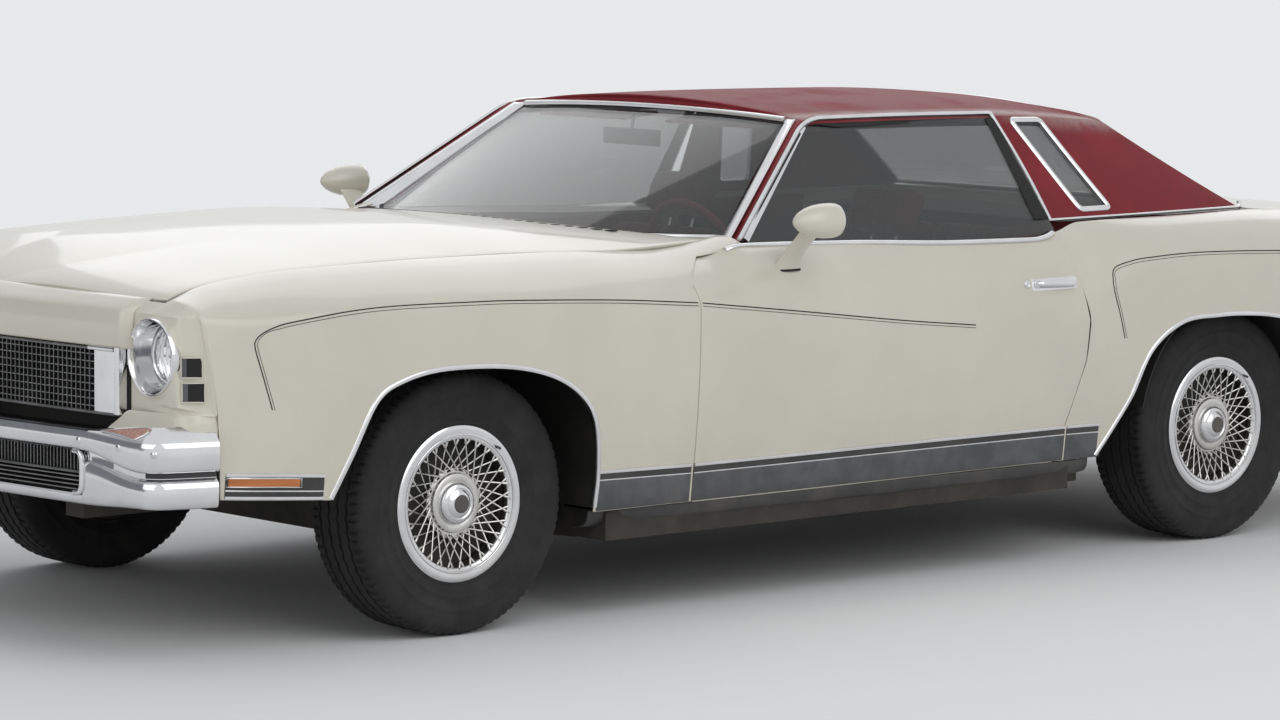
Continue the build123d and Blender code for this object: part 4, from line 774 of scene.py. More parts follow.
def sidePoint(part, x, s, soft=(0.03, 0.09)):
    x, s = np.broadcast_arrays(np.asarray(x, float), np.asarray(s, float))
    table = np.array(sideTables[part], float)
    topY, topZ, creaseY, creaseZ, sillY, upR, sideR = (
        smoothAcross(table[:, 0], table[:, k], x.ravel()).reshape(x.shape) for k in range(1, 8))
    top, crease = np.stack([topY, topZ], -1), np.stack([creaseY, creaseZ], -1)
    sill = np.stack([sillY, np.full_like(x, sillLine)], -1)
    bottom = np.stack([sillY - bottomTuck, np.full_like(x, sideBottom)], -1)

    def at(place):
        low = bottom + (sill - bottom) * np.clip(place, 0, 1)[..., None]
        middle = bulge(sill, crease, sideR, np.clip(place - 1, 0, 1))
        high = bulge(crease, top, upR, np.clip(place - 2, 0, 1))
        return np.where(place[..., None] < 1, low, np.where(place[..., None] < 2, middle, high))

    before, after = soft
    u = np.clip((s - 2 + before) / (before + after), 0, 1)[..., None]
    start, middle, end = (at(np.full_like(s, k)) for k in (2 - before, 2.0, 2 + after))
    fillet = (1 - u) ** 2 * start + 2 * u * (1 - u) * middle + u**2 * end
    plane = np.where((u > 0) & (u < 1), fillet, at(s))
    return np.concatenate([x[..., None], plane], -1)


def sideNormal(part, x, s):
    step = 0.002
    x, s = np.broadcast_arrays(np.asarray(x, float), np.asarray(s, float))
    up = sidePoint(part, x, np.minimum(s + step, 3)) - sidePoint(part, x, np.maximum(s - step, 0))
    ahead = sidePoint(part, x + 2, s) - sidePoint(part, x - 2, s)
    return unit(np.cross(up, ahead))


def findS(part, x, target, axis=2, low=0.0, high=3.0):
    # the s at which the side reaches a height, or on its way up to the top edge a half width
    x, target = np.broadcast_arrays(np.asarray(x, float), np.asarray(target, float))
    a, b = np.full(x.shape, low), np.full(x.shape, high)
    for _ in range(22):
        middle = (a + b) / 2
        value = sidePoint(part, x, middle)[..., axis]
        below = value < target if axis == 2 else value > target
        a, b = np.where(below, middle, a), np.where(below, b, middle)
    return (a + b) / 2


def onSide(part, points):
    # points given as x and z, laid on the body side
    points = np.asarray(points, float)
    return sidePoint(part, points[:, 0], findS(part, points[:, 0], points[:, 1]))


def edgeX(part, s, start, rule):
    x = np.full(np.shape(s), float(start))
    for _ in range(6):
        x = rule(sidePoint(part, x, s))
    return x


doorFrontPlan = ((845, 940, 1000), (745, 846, 853))
doorRearSide = ((300, 434, 590, 705, 865, 959, 1010), (-565, -615, -678, -693, -652, -610, -600))
doorGap = 7.0


def fenderFrontX(p):
    return np.interp(p[..., 2], (428, 640, 960), (2408, 2424, 2476))


def fenderRearX(p):
    return np.interp(p[..., 1], doorFrontPlan[0], doorFrontPlan[1]) + doorGap


def doorFrontX(p):
    return np.interp(p[..., 1], doorFrontPlan[0], doorFrontPlan[1])


def doorRearX(p):
    return np.interp(p[..., 2], doorRearSide[0], doorRearSide[1])


def quarterFrontX(p):
    return doorRearX(p) - doorGap - 0.6


def quarterRearX(p):
    return np.full(p.shape[:-1], -2558.0)


def sidePatch(part, lower, frontRule, rearRule, lowRows, upS):
    # lower lists x, z and the x that the column has at the crease, front to rear
    columns = len(lower)
    bottomS = findS(part, lower[:, 0], lower[:, 1])
    v = np.linspace(0, 1, lowRows)[:, None] ** 0.85
    s = bottomS + (2 - bottomS) * v
    x = lower[:, 0] + (lower[:, 2] - lower[:, 0]) * v
    across = (lower[:, 2] - lower[0, 2]) / (lower[-1, 2] - lower[0, 2])
    for column, rule in ((0, frontRule), (-1, rearRule)):
        wanted = edgeX(part, s[:, column], x[-1, column], rule)
        fade = np.clip(1 - np.abs(across - across[column]) / 0.16, 0, 1)
        x = x + (wanted - x[:, column])[:, None] * fade
    upFront = edgeX(part, upS, x[-1, 0], frontRule)
    upRear = edgeX(part, upS, x[-1, -1], rearRule)
    upX = upFront[:, None] + (upRear - upFront)[:, None] * across
    s = np.concatenate([s, np.repeat(upS[:, None], columns, 1)])
    return sidePoint(part, np.concatenate([x, upX]), s)


# x, z on the arch or bottom edge, and the x of the same column at the crease
fenderArch = [
    (2080, 404, 2110), (2022, 514, 2040), (1953, 644, 1960), (1874, 690, 1880), (1745, 713, 1745),
    (1545, 708, 1545),
    (1392, 678, 1385), (1287, 626, 1270), (1222, 547, 1190), (1198, 412, 1120), (1200, 312, 1060),
]
quarterArch = [
    (-745, 303, -800), (-800, 372, -860), (-869, 470, -925), (-941, 604, -985), (-1065, 679, -1080),
    (-1217, 690, -1217),
    (-1340, 688, -1340), (-1464, 676, -1464), (-1570, 650, -1560), (-1670, 575, -1650), (-1730, 470, -1730),
    (-1758, 345, -1800),
]


def spread(nodes, step=22.0):
    # straight runs between nodes, cut into columns about one step wide
    nodes = np.asarray(nodes, float)
    pieces = []
    for a, b in zip(nodes[:-1], nodes[1:]):
        n = max(1, int(round(np.linalg.norm(b - a) / step)))
        pieces.append(a + (b - a) * np.arange(n)[:, None] / n)
    return np.concatenate([*pieces, nodes[-1:]])


def makeSides():
    tongueS = float(findS("fender", 752, 845, axis=1, low=2.0))
    upS = np.concatenate([2 + np.array([0.015, 0.03, 0.045, 0.06, 0.075, 0.09, 0.14, 0.22, 0.32, 0.43, 0.52]),
                          [tongueS], np.linspace(tongueS, 3, 10)[1:]])
    arch = curved(fenderArch, 74)
    lower = np.concatenate([spread([(2408, 428, 2455), (2080, 404, 2110)])[:-1], arch[:-1],
                            spread([(1200, 301, 1060), (860, 301, 860)])])
    main = sidePatch("fender", lower, fenderFrontX, fenderRearX, 24, upS)
    tongueRows = upS[upS >= tongueS - 1e-6]
    tongue = sidePoint("fender", np.linspace(752, 597, 9)[None], tongueRows[:, None])
    rows, columns = main.shape[:2]
    main[rows - len(tongueRows):, -1] = tongue[:, 0]
    points = np.concatenate([main.reshape(-1, 3), tongue.reshape(-1, 3)])
    faces = np.concatenate([gridFaces(rows, columns), gridFaces(*tongue.shape[:2], start=rows * columns)])
    fender = sheetPanel(points, faces, hint=(0, 1, 0))

    upS = 2 + np.array([0.015, 0.03, 0.045, 0.06, 0.075, 0.09, 0.14, 0.22, 0.32, 0.43, 0.55, 0.67, 0.78, 0.88,
                        0.95, 1.0])
    arch = curved(quarterArch, 84)
    lower = np.concatenate([spread([(-572, 301, -702), (-745, 303, -800)])[:-1], arch[:-1],
                            spread([(-1758, 345, -1800), (-2558, 436, -2558)])])
    rear = sidePatch("quarter", lower, quarterFrontX, quarterRearX, 24, upS)
    quarter = gridSheet(rear, hint=(0, 1, 0))

    rowS = np.concatenate([np.linspace(0, 1, 6), np.linspace(1, 1.97, 26)[1:],
                           2 + np.array([-0.015, 0, 0.015, 0.03, 0.05, 0.07, 0.09]),
                           2 + np.linspace(0.16, 1, 12)])
    u = np.linspace(0, 1, 84)
    front, back = edgeX("door", rowS, 850, doorFrontX), edgeX("door", rowS, -650, doorRearX)
    grid = sidePoint("door", front[:, None] + (back - front)[:, None] * u, rowS[:, None])
    inner = grid.copy()
    inner[..., 1] = 762
    inner[..., 2] = np.minimum(inner[..., 2], grid[-1:, :, 2] - 14)
    door = panelMesh(grid, inner, 3.0)
    makePair("fender", fender, paint, replaced="fender_{side}")
    makePair("quarter", quarter, paint, replaced="quarter_{side}")
    makePair("door", door, paint, onDoor, replaced="door_{side}")
    print("body sides made")


makeSides()


# Hood and trunk lid: x, centre z, crease y and z, edge y and z

hoodRows = [
    (2484, 922, 60, 921, 753, 912), (2330, 958, 150, 956, 753, 947), (2010, 1012, 290, 1006, 753, 973),
    (1614, 1042, 340, 1033, 753, 981), (1375, 1048, 380, 1038, 753, 981), (1000, 1028, 420, 1018, 753, 972),
    (630, 1004, 440, 1000, 753, 985),
]
lidRows = [
    (-1612, 987, 400, 986, 738, 982), (-1900, 982, 400, 979, 738, 966), (-2300, 944, 400, 940, 738, 922),
    (-2552, 908, 400, 903, 738, 889),
]
hoodRearArc = arcPoints((632, 753), (820, 380), (872, 0), 40)


def lidPoint(rows, x, w):
    # w runs from 0 at the middle to 1 at the crease and 2 at the side edge
    x, w = np.broadcast_arrays(np.asarray(x, float), np.asarray(w, float))
    table = np.array(rows, float)
    centreZ, creaseY, creaseZ, edgeY, edgeZ = (
        smoothAcross(table[:, 0], table[:, k], x.ravel()).reshape(x.shape) for k in range(1, 6))

    def at(place):
        f = np.clip(place, 0, 1)
        g = np.clip(place - 1, 0, 1)
        y = creaseY * f + (edgeY - creaseY) * g
        rise = (edgeY - creaseY) * 0.018 * 4 * g * (1 - g)
        return np.stack([y, centreZ + (creaseZ - centreZ) * f**2 + (edgeZ - creaseZ) * g + rise], -1)

    reach = 0.06
    u = np.clip((w - 1 + reach) / (2 * reach), 0, 1)[..., None]
    one = np.ones_like(w)
    fillet = (1 - u) ** 2 * at(one - reach) + 2 * u * (1 - u) * at(one) + u**2 * at(one + reach)
    plane = np.where((u > 0) & (u < 1), fillet, at(w))
    return np.concatenate([x[..., None], plane], -1)


def hoodFrontX(y):
    return np.interp(y, (0, 560, 640, 700, 753), (2482, 2482, 2479, 2464, 2446))


def hoodRearX(y):
    return np.interp(y, hoodRearArc[::-1, 1], hoodRearArc[::-1, 0])


def makeLids():
    w = np.concatenate([np.linspace(0, 0.94, 14), [0.96, 0.98, 1.0, 1.02, 1.04], np.linspace(1.06, 2, 16)])
    u = np.concatenate([np.linspace(0, 0.06, 5)[:-1], np.linspace(0.06, 0.94, 50),
                        np.linspace(0.94, 1, 5)[1:]])
    front, back = np.full(len(w), 2480.0), np.full(len(w), 700.0)
    for _ in range(6):
        front = hoodFrontX(lidPoint(hoodRows, front, w)[:, 1])
        back = hoodRearX(lidPoint(hoodRows, back, w)[:, 1])
    half = lidPoint(hoodRows, (back + (front - back) * u[:, None]), w[None])
    # the front edge turns down a little over the header
    drop = np.clip((u - 0.97) / 0.03, 0, 1)
    half[..., 2] -= (drop**2 * 5)[:, None]
    whole = np.concatenate([half[:, :0:-1] * (1, -1, 1), half], 1)
    makePiece("hood", gridSheet(whole, thickness=14, radius=4), paint, "hood", replaced="hood")
    u = np.linspace(0, 1, 40)
    w = np.concatenate([np.linspace(0, 0.94, 8), [0.97, 1.0, 1.03], np.linspace(1.06, 2, 12)])
    half = lidPoint(lidRows, (-1612 + (-2550 + 1612) * u)[:, None], w[None])
    whole = np.concatenate([half[:, :0:-1] * (1, -1, 1), half], 1)
    lip = whole[-1]
    rows = [lip + (-1.8, 0, -10), lip + (0, 0, -28), lip * (1, 1, 0) + (2, 0, 845)]
    whole = np.concatenate([whole, np.array(rows)])
    makePiece("trunkLid", gridSheet(whole, thickness=12, radius=3), paint, "trunk_lid", replaced="trunk_lid")
    print("hood and trunk lid made")


makeLids()


# Glasshouse under vinyl: p runs from 0 at the foot of the side to 1 at the rail and 2 at the crown

roofRows = [
    (600, 866, 640, 1290, 1330), (-100, 862, 632, 1292, 1344), (-650, 852, 622, 1286, 1340),
    (-1050, 842, 590, 1262, 1316), (-1620, 812, 520, 1210, 1262),
]
roofFoot, belt = 925.0, 985.0
backLine = ((-1560, 985), (-1028, 1308))


def roofPoint(x, p, inset=0.0):
    x, p = np.broadcast_arrays(np.asarray(x, float), np.asarray(p, float))
    table = np.array(roofRows, float)
    baseY, railY, railZ, crownZ = (smoothAcross(table[:, 0], table[:, k],
                                                x.ravel()).reshape(x.shape) for k in range(1, 5))
    baseY, railY, railZ, crownZ = baseY - inset, railY - inset * 0.8, railZ - inset, crownZ - inset

    def at(place):
        f, g = np.clip(place, 0, 1), np.clip(place - 1, 0, 1)
        y = baseY + (railY - baseY) * f - railY * g
        return np.stack([y, roofFoot + (railZ - roofFoot) * f + (crownZ - railZ) * (1 - (1 - g) ** 2)], -1)

    low, high = 0.99, 1.14
    u = np.clip((p - low) / (high - low), 0, 1)[..., None]
    one = np.ones_like(p)
    fillet = (1 - u) ** 2 * at(one * low) + 2 * u * (1 - u) * at(one) + u**2 * at(one * high)
    plane = np.where((u > 0) & (u < 1), fillet, at(p))
    return np.concatenate([x[..., None], plane], -1)


def pOfZ(x, z):
    table = np.array(roofRows, float)
    railZ = smoothAcross(table[:, 0], table[:, 3], x)
    return (z - roofFoot) / (railZ - roofFoot)


def roofFrontX(y):
    return 182 - 34 * (y / 560) ** 2 + 2.0


def backX(z):
    (x0, z0), (x1, z1) = backLine
    return x0 + (z - z0) * (x1 - x0) / (z1 - z0)


def makeRoof():
    edgeP = 0.99
    p = np.concatenate([edgeP + (1.14 - edgeP) * np.linspace(0, 1, 10), np.linspace(1.14, 2, 22)[1:]])
    rear = np.full(len(p), -1050.0)
    front = np.full(len(p), 170.0)
    for _ in range(8):
        rear = backX(roofPoint(rear, p)[:, 2])
        front = roofFrontX(roofPoint(front, p)[:, 1])
    split = -603.0
    u1, u2 = np.linspace(0, 1, 26), np.linspace(0, 1, 25)
    x = np.concatenate([front[:, None] + (split - front)[:, None] * u1,
                        (split + (rear - split)[:, None] * u2)[:, 1:]], 1)
    half = roofPoint(x, p[:, None])
    whole = np.concatenate([half, half[-2::-1] * (1, -1, 1)])
    # side panels: rings from the panel's outline to the window opening
    topX = x[0, len(u1) - 1:]
    cornerX = rear[0]
    cornerZ = float(roofPoint(cornerX, edgeP)[2])
    frontLine, rearLine = along([(split, cornerZ + 24), (-662, belt)],
                                17), along([(-1558, belt), (cornerX, cornerZ)], 21)
    frontLine[0] = (split, float(roofPoint(split, edgeP)[2]))
    bottomLine = along([(-662, belt), (-1558, belt)], 25)
    top = np.stack([topX, roofPoint(topX, edgeP)[:, 2]], -1)
    outline = np.concatenate([frontLine[:-1], bottomLine[:-1], rearLine[:-1], top[::-1][:-1]])
    w = sailWindowCorners
    opening = np.concatenate([along([w[0], w[3]], 17)[:-1], along([w[3], w[2]], 25)[:-1],
                              along([w[2], w[1]], 21)[:-1],
                              along([w[1], w[0]], 25)[:-1]])
    f = np.linspace(0, 1, 9)[:, None, None]
    ring = outline + (opening - outline) * f
    n = outline.shape[0]
    ringPoints = roofPoint(ring[..., 0], pOfZ(ring[..., 0].ravel(),
                                              ring[..., 1].ravel()).reshape(ring.shape[:2]))
    ringPoints[0, -(len(topX) - 1):] = half[0, len(u1):][::-1]
    ringPoints[0, 0] = half[0, len(u1) - 1]
    ringFaces = gridFaces(9, n, closedColumns=True)
    rows, columns = whole.shape[:2]
    points = [whole.reshape(-1, 3), ringPoints.reshape(-1, 3), ringPoints.reshape(-1, 3) * (1, -1, 1)]
    start = rows * columns
    faces = [gridFaces(rows, columns), ringFaces + start, ringFaces[:, ::-1] + start + 9 * n]
    points, faces = np.concatenate(points), np.concatenate(faces)
    # all faces wound so that they look outward
    centre = np.array([-500, 0, 1000.0])
    a, b, c, d = (points[faces[:, k]] for k in range(4))
    turned = np.sum(np.cross(c - a, d - b) * ((a + c) / 2 - centre), -1) < 0
    faces[turned] = faces[turned][:, ::-1]
    makePiece("vinylRoof", sheetPanel(points, faces, thickness=14, radius=5), vinyl, replaced="roof")
    inner = roofPoint(x, p[:, None], 24)
    inner[..., 0] = x
    makePiece("headliner", gridSheet(np.concatenate([inner, inner[-2::-1] * (1, -1, 1)]), thickness=6,
                                     radius=2), headliner)
    print("roof made")


sailWindowCorners = [(-681, 1272), (-818, 1268), (-955, 1010), (-818, 1010)]
makeRoof()


# Wheels and tyres, outboard towards +Y; the right side is the mirror image

wheelPlaces = {
    "front_left": (1596, 778.5, 1), "front_right": (1596, 778.5, -1),
    "rear_left": (-1350, 771, 1), "rear_right": (-1350, 771, -1),
}
tyre = dict(radius=346, grooves=(-54, -18, 18, 54), grooveHalf=3.6, grooveDepth=8, zigzags=60, steps=420,
            shoulderCuts=84, shoulderDepth=6)
# half section from the tread edge down the outboard wall to the bead: across, radius
tyreWall = [
    (84, 344.5), (92, 341), (99, 334), (104, 324), (107, 311), (108, 296), (107.6, 284), (109, 281),
    (109, 278), (107.2, 275),
    (106, 262), (103.6, 250), (104.6, 247), (104.6, 243), (102.4, 240), (98, 228), (92, 217), (93, 214),
    (92, 209), (86, 203), (80, 201),
]
# outer ring of the wire cover, the dish behind the spokes, the hub and its cap: across, radius
coverRing = [(70, 199), (78, 204), (86, 207), (92, 207), (95, 203), (96, 197), (94.5, 188), (93, 179),
             (92, 173), (89, 169), (84, 167), (76, 166), (70, 168)]
coverLip = [(93.6, 184), (95.6, 183), (96.2, 181), (95.4, 179), (92.6, 178)]
rimBarrel = [(-95, 204), (-95, 192), (60, 188), (66, 166), (50, 166), (46, 180), (-80, 184), (-80, 200)]
backDish = [(40, 168), (34, 150), (36, 120), (46, 100), (60, 92), (60, 40), (30, 40), (28, 150), (30, 168)]
hubStep = [(56, 96), (64, 95), (69, 92), (70, 88), (70, 80), (77, 77), (79, 72), (79, 60), (74, 52), (60, 50),
           (56, 60)]
hubCap = [(72, 58), (84, 55), (90, 51), (93, 45), (94, 41), (92, 38), (95, 34), (99, 28), (101, 18),
          (101.5, 0.01), (74, 0.01)]
hubDisc = [(101, 24), (103, 22.5), (103.6, 20), (103.2, 17), (103, 0.01), (98, 0.01), (98, 24)]
lacing = dict(pairs=28, lean=25, innerRadius=84, outerRadius=169, outerY=88, lowY=66, highY=73, thickness=2.1)


def tyreMesh(t):
    across = np.unique(np.round(np.concatenate([np.linspace(-84, 84, 29), *(
        g + np.array([-t["grooveHalf"] - 1.2, -t["grooveHalf"], t["grooveHalf"],
                      t["grooveHalf"] + 1.2]) for g in t["grooves"])]), 2))
    a = np.arange(t["steps"]) * 2 * np.pi / t["steps"]
    y = across[None] + 0 * a[:, None]
    zig = 3.0 * (np.abs(((a * t["zigzags"] / 2 / np.pi) % 1) * 2 - 1) - 0.5)[:, None] * 2
    inner = np.abs(y) < 76
    y = y + np.where(inner, zig, 0)
    crown = t["radius"] - 1.5 * (y / 84) ** 2
    depth = np.zeros_like(y)
    for g in t["grooves"]:
        depth = np.maximum(depth, np.where(np.abs(across[None] - g) <= t["grooveHalf"] + 0.01,
                                           t["grooveDepth"], 0))
    cut = ((a * t["shoulderCuts"] / 2 / np.pi) % 1 < 0.34)[:, None] & (np.abs(across[None]) > 62)
    depth = np.maximum(depth, np.where(cut, t["shoulderDepth"], 0))
    wall = np.array(tyreWall[1:], float)
    outside = np.broadcast_to(wall, (len(a), *wall.shape)).copy()
    outside[:, 0:2, 1] -= np.where(cut[:, -1:], 3.0, 0)
    inside = outside[:, ::-1] * (-1, 1)
    section = np.concatenate([inside, np.stack([y, crown - depth], -1), outside], 1)
    points = np.stack([section[..., 1] * np.cos(a)[:, None], section[..., 0],
                       section[..., 1] * np.sin(a)[:, None]], -1)
    faces = gridFaces(len(a), section.shape[1], closedRows=True, closedColumns=True)
    return points.reshape(-1, 3), faces[:, ::-1]


def spokesMesh(s):
    meshes = []
    for k in range(s["pairs"]):
        for lean, innerY, shift in ((s["lean"], s["lowY"], 0), (-s["lean"], s["highY"], 0.5)):
            start = 2 * math.pi * (k + shift) / s["pairs"]
            end = start + math.radians(lean)
            a = np.array([s["innerRadius"] * math.cos(start), innerY, s["innerRadius"] * math.sin(start)])
            b = np.array([s["outerRadius"] * math.cos(end), s["outerY"], s["outerRadius"] * math.sin(end)])
            f = np.array([0, 0.86, 0.88, 1.0])[:, None]
            meshes.append(tube(a + (b - a) * f, [s["thickness"], s["thickness"], s["thickness"] * 1.5,
                                                 s["thickness"] * 1.5], 7))
    return joined(*meshes)


# lower four corners in turn, then the upper four
prismFaces = [(3, 2, 1, 0), (4, 5, 6, 7), (0, 1, 5, 4), (1, 2, 6, 5), (2, 3, 7, 6), (3, 0, 4, 7)]


def slotsMesh(count, radius, y, length, width):
    # small raised tabs round the hub's step
    meshes = []
    for k in range(count):
        a = 2 * math.pi * k / count
        out, ahead = np.array([math.cos(a), 0, math.sin(a)]), np.array([-math.sin(a), 0, math.cos(a)])
        centre = out * radius + (0, y, 0)
        corners = [centre + out * i * width / 2 + ahead * j * length / 2 for i,
                   j in ((-1, -1), (1, -1), (1, 1), (-1, 1))]
        points = np.array([c + (0, d, 0) for d in (-3, 0.6) for c in corners])
        meshes.append((points, prismFaces))
    return joined(*meshes)


def makeWheels():
    rubberMesh = tyreMesh(tyre)
    axis = (0, 1, 0)
    pieces = {
        "ring": (joined(turned(coverRing, (0, 0, 0), axis), turned(coverLip, (0, 0, 0), axis)), chrome),
        "barrel": (joined(turned(rimBarrel, (0, 0, 0), axis, 64), turned(backDish, (0, 0, 0), axis, 64)),
                   chassisBlack),
        "spokes": (spokesMesh(lacing), spokeMetal),
        "hubStep": (turned(hubStep, (0, 0, 0), axis), spokeMetal),
        "hubSlots": (slotsMesh(14, 86.5, 70.2, 11, 5), blackGap),
        "hubCap": (turned(hubCap, (0, 0, 0), axis, 64), chrome),
        "hubDisc": (turned(hubDisc, (0, 0, 0), axis, 64), ironGrey),
        "nuts": (slotsMesh(28, 172.5, 92.4, 4, 4), spokeMetal),
    }
    for place, (x, y, side) in wheelPlaces.items():
        body = f"wheel_body_{place}"

        def put(mesh):
            points = np.asarray(mesh[0]) + (x, y, 346)
            return (points, mesh[1]) if side > 0 else mirrored((points, mesh[1]))

        makePiece(f"tyre.{place}", put(rubberMesh), tyreRubber, body, replaced=f"tyre_{place}",
                  smoothAngle=32)
        for name, (mesh, material) in pieces.items():
            makePiece(f"{name}.{place}", put(mesh), material, body,
                      replaced=f"wheel_{place}" if name == "ring" else "", smoothAngle=35)
        valve = tube([(188 * math.cos(2.3), 92, 188 * math.sin(2.3)),
                      (184 * math.cos(2.3), 108, 184 * math.sin(2.3))], 3.6, 10)
        makePiece(f"valve.{place}", put(valve), darkTrim, body)
    print("wheels made")


makeWheels()


# Nose: header strip, lamp pods, round headlamps, egg-crate grille and wrapped bumper

lampCentre = np.array([2518.0, 795.0, 779.0])
# the nose bows forward towards its middle
noseBow, noseHalf = 32.0, 716.0
headerProfile = [(2548, 795), (2552, 800), (2552, 850), (2549, 884), (2543, 893), (2528, 902), (2505, 913),
                 (2487, 919)]


def podLoops(count=30):
    # four sides each, counter-clockwise from the lower inboard corner: lamp opening, flat face, outer border
    t = np.linspace(0, 1, count, endpoint=False)
    turns = np.radians(np.concatenate([225 + 90 * t, 315 + 90 * t, 45 + 90 * t, 135 + 90 * t]))
    y0, z0 = lampCentre[1], lampCentre[2]
    opening = np.stack([2519 - 0.09 * np.sin(turns), y0 + 95.5 * np.cos(turns), z0 + 95.5 * np.sin(turns)],
                       -1)
    face = np.array([(2519, 701, 656), (2512, 889, 660), (2508, 882, 882), (2518, 701, 886),
                     (2519, 701, 656)], float)
    flat = np.concatenate([face[k] + (face[k + 1] - face[k]) * t[:, None] for k in range(4)])
    # fender's front edge: level by level up its side, then on over its top
    edgeOf = lambda z: np.interp(z, (428, 640, 960), (2408, 2424, 2476)) + doorGap
    low = np.linspace(640, 860, 36)
    s = findS("fender", edgeOf(low), low)
    s = np.concatenate([s, np.linspace(s[-1], 3, 26)[1:]])
    x = edgeOf(np.full(len(s), 900.0))
    for _ in range(3):
        fender = sidePoint("fender", x, s)
        x = edgeOf(fender[:, 2])
    fender = sidePoint("fender", x, s)
    side, top = fender[fender[:, 2] <= 882], fender[fender[:, 2] > 882]
    top = np.concatenate([side[-1:], top])
    bottom = curved([(2519, 701, 640), (2512, 830, 640), (2496, 893, 640), tuple(side[0])], 30)
    cap = curved([tuple(top[-1]), (2484, 760, 911), (2487, 701, 912)], 12)
    inner = np.array([(2487, 701, 912), (2519, 701, 884), (2519, 701, 640)], float)
    sides = [bottom, side, np.concatenate([top, cap[1:]]), inner]
    border = np.concatenate([along(line, count + 1)[:-1] for line in sides])
    return opening, flat, border


def makeNose():
    # header strip swept across with a slight bow in plan
    y = np.concatenate([np.linspace(-716, -690, 8), np.linspace(-690, 690, 61)[1:-1],
                        np.linspace(690, 716, 8)])
    profile = np.array(headerProfile, float)
    grid = np.stack(np.broadcast_arrays(profile[None, :, 0], y[:, None], profile[None, :, 1]),
                    -1).astype(float)
    endTurn = np.clip((np.abs(y) - 690) / 26, 0, 1)
    grid[..., 0] -= 3.0 * (np.abs(y) / 716)[:, None] ** 3 + 24 * endTurn[:, None] ** 2.2
    grid[..., 0] += noseBow * (1 - (y / noseHalf)[:, None] ** 2) * np.clip((profile[:, 0] - 2487) / 56, 0, 1)
    makePiece("header", gridSheet(grid, thickness=12, radius=4, hint=(1, 0, 1)), paint,
              replaced="header_panel")
    # pod: rings from the lamp opening to its flat face and on to the border
    opening, flat, border = podLoops()
    near, far = np.linspace(0, 1, 6)[:, None, None], np.linspace(0, 1, 12)[1:, None, None]
    ring = np.concatenate([opening + (flat - opening) * near, flat + (border - flat) * far])
    ring[0, :, 0] += 4
    ring[1, :, 0] += 1.5
    # the outboard facet lies a step behind the lamp's face
    sunk = np.zeros(ring.shape[:2])
    columns = np.arange(ring.shape[1])
    sunk[6:-1] = 5.0 * np.clip((columns - 28) / 3, 0, 1) * np.clip((62 - columns) / 3, 0, 1)
    sunk[6] *= 0.9
    ring -= sunk[..., None] * (0.75, 0.66, 0)
    ring[6] = flat + (ring[6] - flat) * 0.35
    pod = sheetPanel(ring.reshape(-1, 3), gridFaces(*ring.shape[:2], closedColumns=True), thickness=8,
                     radius=2, hint=(1, 0, 0))
    cone = [(2512, 96.5), (2524, 97), (2529, 95.5), (2530, 93), (2526, 90.5), (2500, 84), (2466, 77),
            (2461, 73), (2455, 73), (2452, 80), (2480, 90)]
    band = [(2461, 73.5), (2467, 73), (2470, 70.5), (2467, 67.5), (2460, 67), (2457, 70)]
    bowl = [(2459, 68), (2445, 62), (2433, 50), (2425, 34), (2420, 16), (2419, 0.01), (2412, 0.01),
            (2414, 40), (2432, 66), (2452, 72)]
    lens = [(2460, 67.5), (2466, 60), (2471, 45), (2474.5, 28), (2476, 12), (2476.4, 0.01), (2471, 0.01),
            (2469, 30), (2462, 56), (2456, 67)]
    bulb = [(2421, 0.01), (2421, 9), (2436, 10), (2440, 7), (2442, 0.01)]
    centre = lampCentre * (0, 1, 1)
    ahead = (1, 0, 0)
    makePair("lampCone", joined(turned(cone, centre, ahead), turned(band, centre, ahead)), chrome,
             replaced="headlamps")
    makePair("lampBowl", joined(turned(bowl, centre, ahead, 64), turned(bulb, centre, ahead, 24)), reflector)
    makePair("lampLens", turned(lens, centre, ahead, 64), lampGlass)
    makePair("pod", pod, paint)
    # square pockets on the outboard facet, each with its raised frame: a black plate of painted shade stands
    # in for the recess, with a paler inner corner
    start, end = np.array([2509.0, 890.0, 0]), np.array([2449.0, 930.5, 0])
    for k, (near, far, lowZ, highZ) in enumerate(((0.07, 0.80, 734, 784), (0.10, 0.88, 673, 721))):
        a, b = start + (end - start) * near, start + (end - start) * far
        corners = np.array([a + (0, 0, lowZ), b + (0, 0, lowZ), b + (0, 0, highZ), a + (0, 0, highZ)])
        out = unit(np.cross(corners[1] - corners[0], corners[3] - corners[0]))
        out = out if out[0] > 0 else -out
        shadeHollow = np.concatenate([corners - out * 4, corners - out * 1.2]), prismFaces
        makePair(f"pocket{k}", shadeHollow, blackGap)
        # forward part of the pocket is a paler patch, painted light on its inner wall
        pale = corners.copy()
        pale[1:3] = corners[[0, 3]] + (corners[1:3] - corners[[0, 3]]) * 0.26
        wall = np.concatenate([pale - out * 3, pale - out * 0.7]), prismFaces
        makePair(f"pocketWall{k}", wall, brushedBand)
        loop = np.concatenate([along([corners[i], corners[(i + 1) % 4]], 6)[:-1] for i in range(4)])
        makePair(f"pocketFrame{k}", tube(loop - out * 0.6, 2.0, 8, closed=True), paint)
    print("nose made")


makeNose()


def box(x0, x1, y0, y1, z0, z1):
    points = np.array([(x, y, z) for x in (x0, x1) for y in (y0, y1) for z in (z0, z1)], float)
    return points, [(0, 1, 3, 2), (4, 6, 7, 5), (0, 4, 5, 1), (2, 3, 7, 6), (0, 2, 6, 4), (1, 5, 7, 3)]


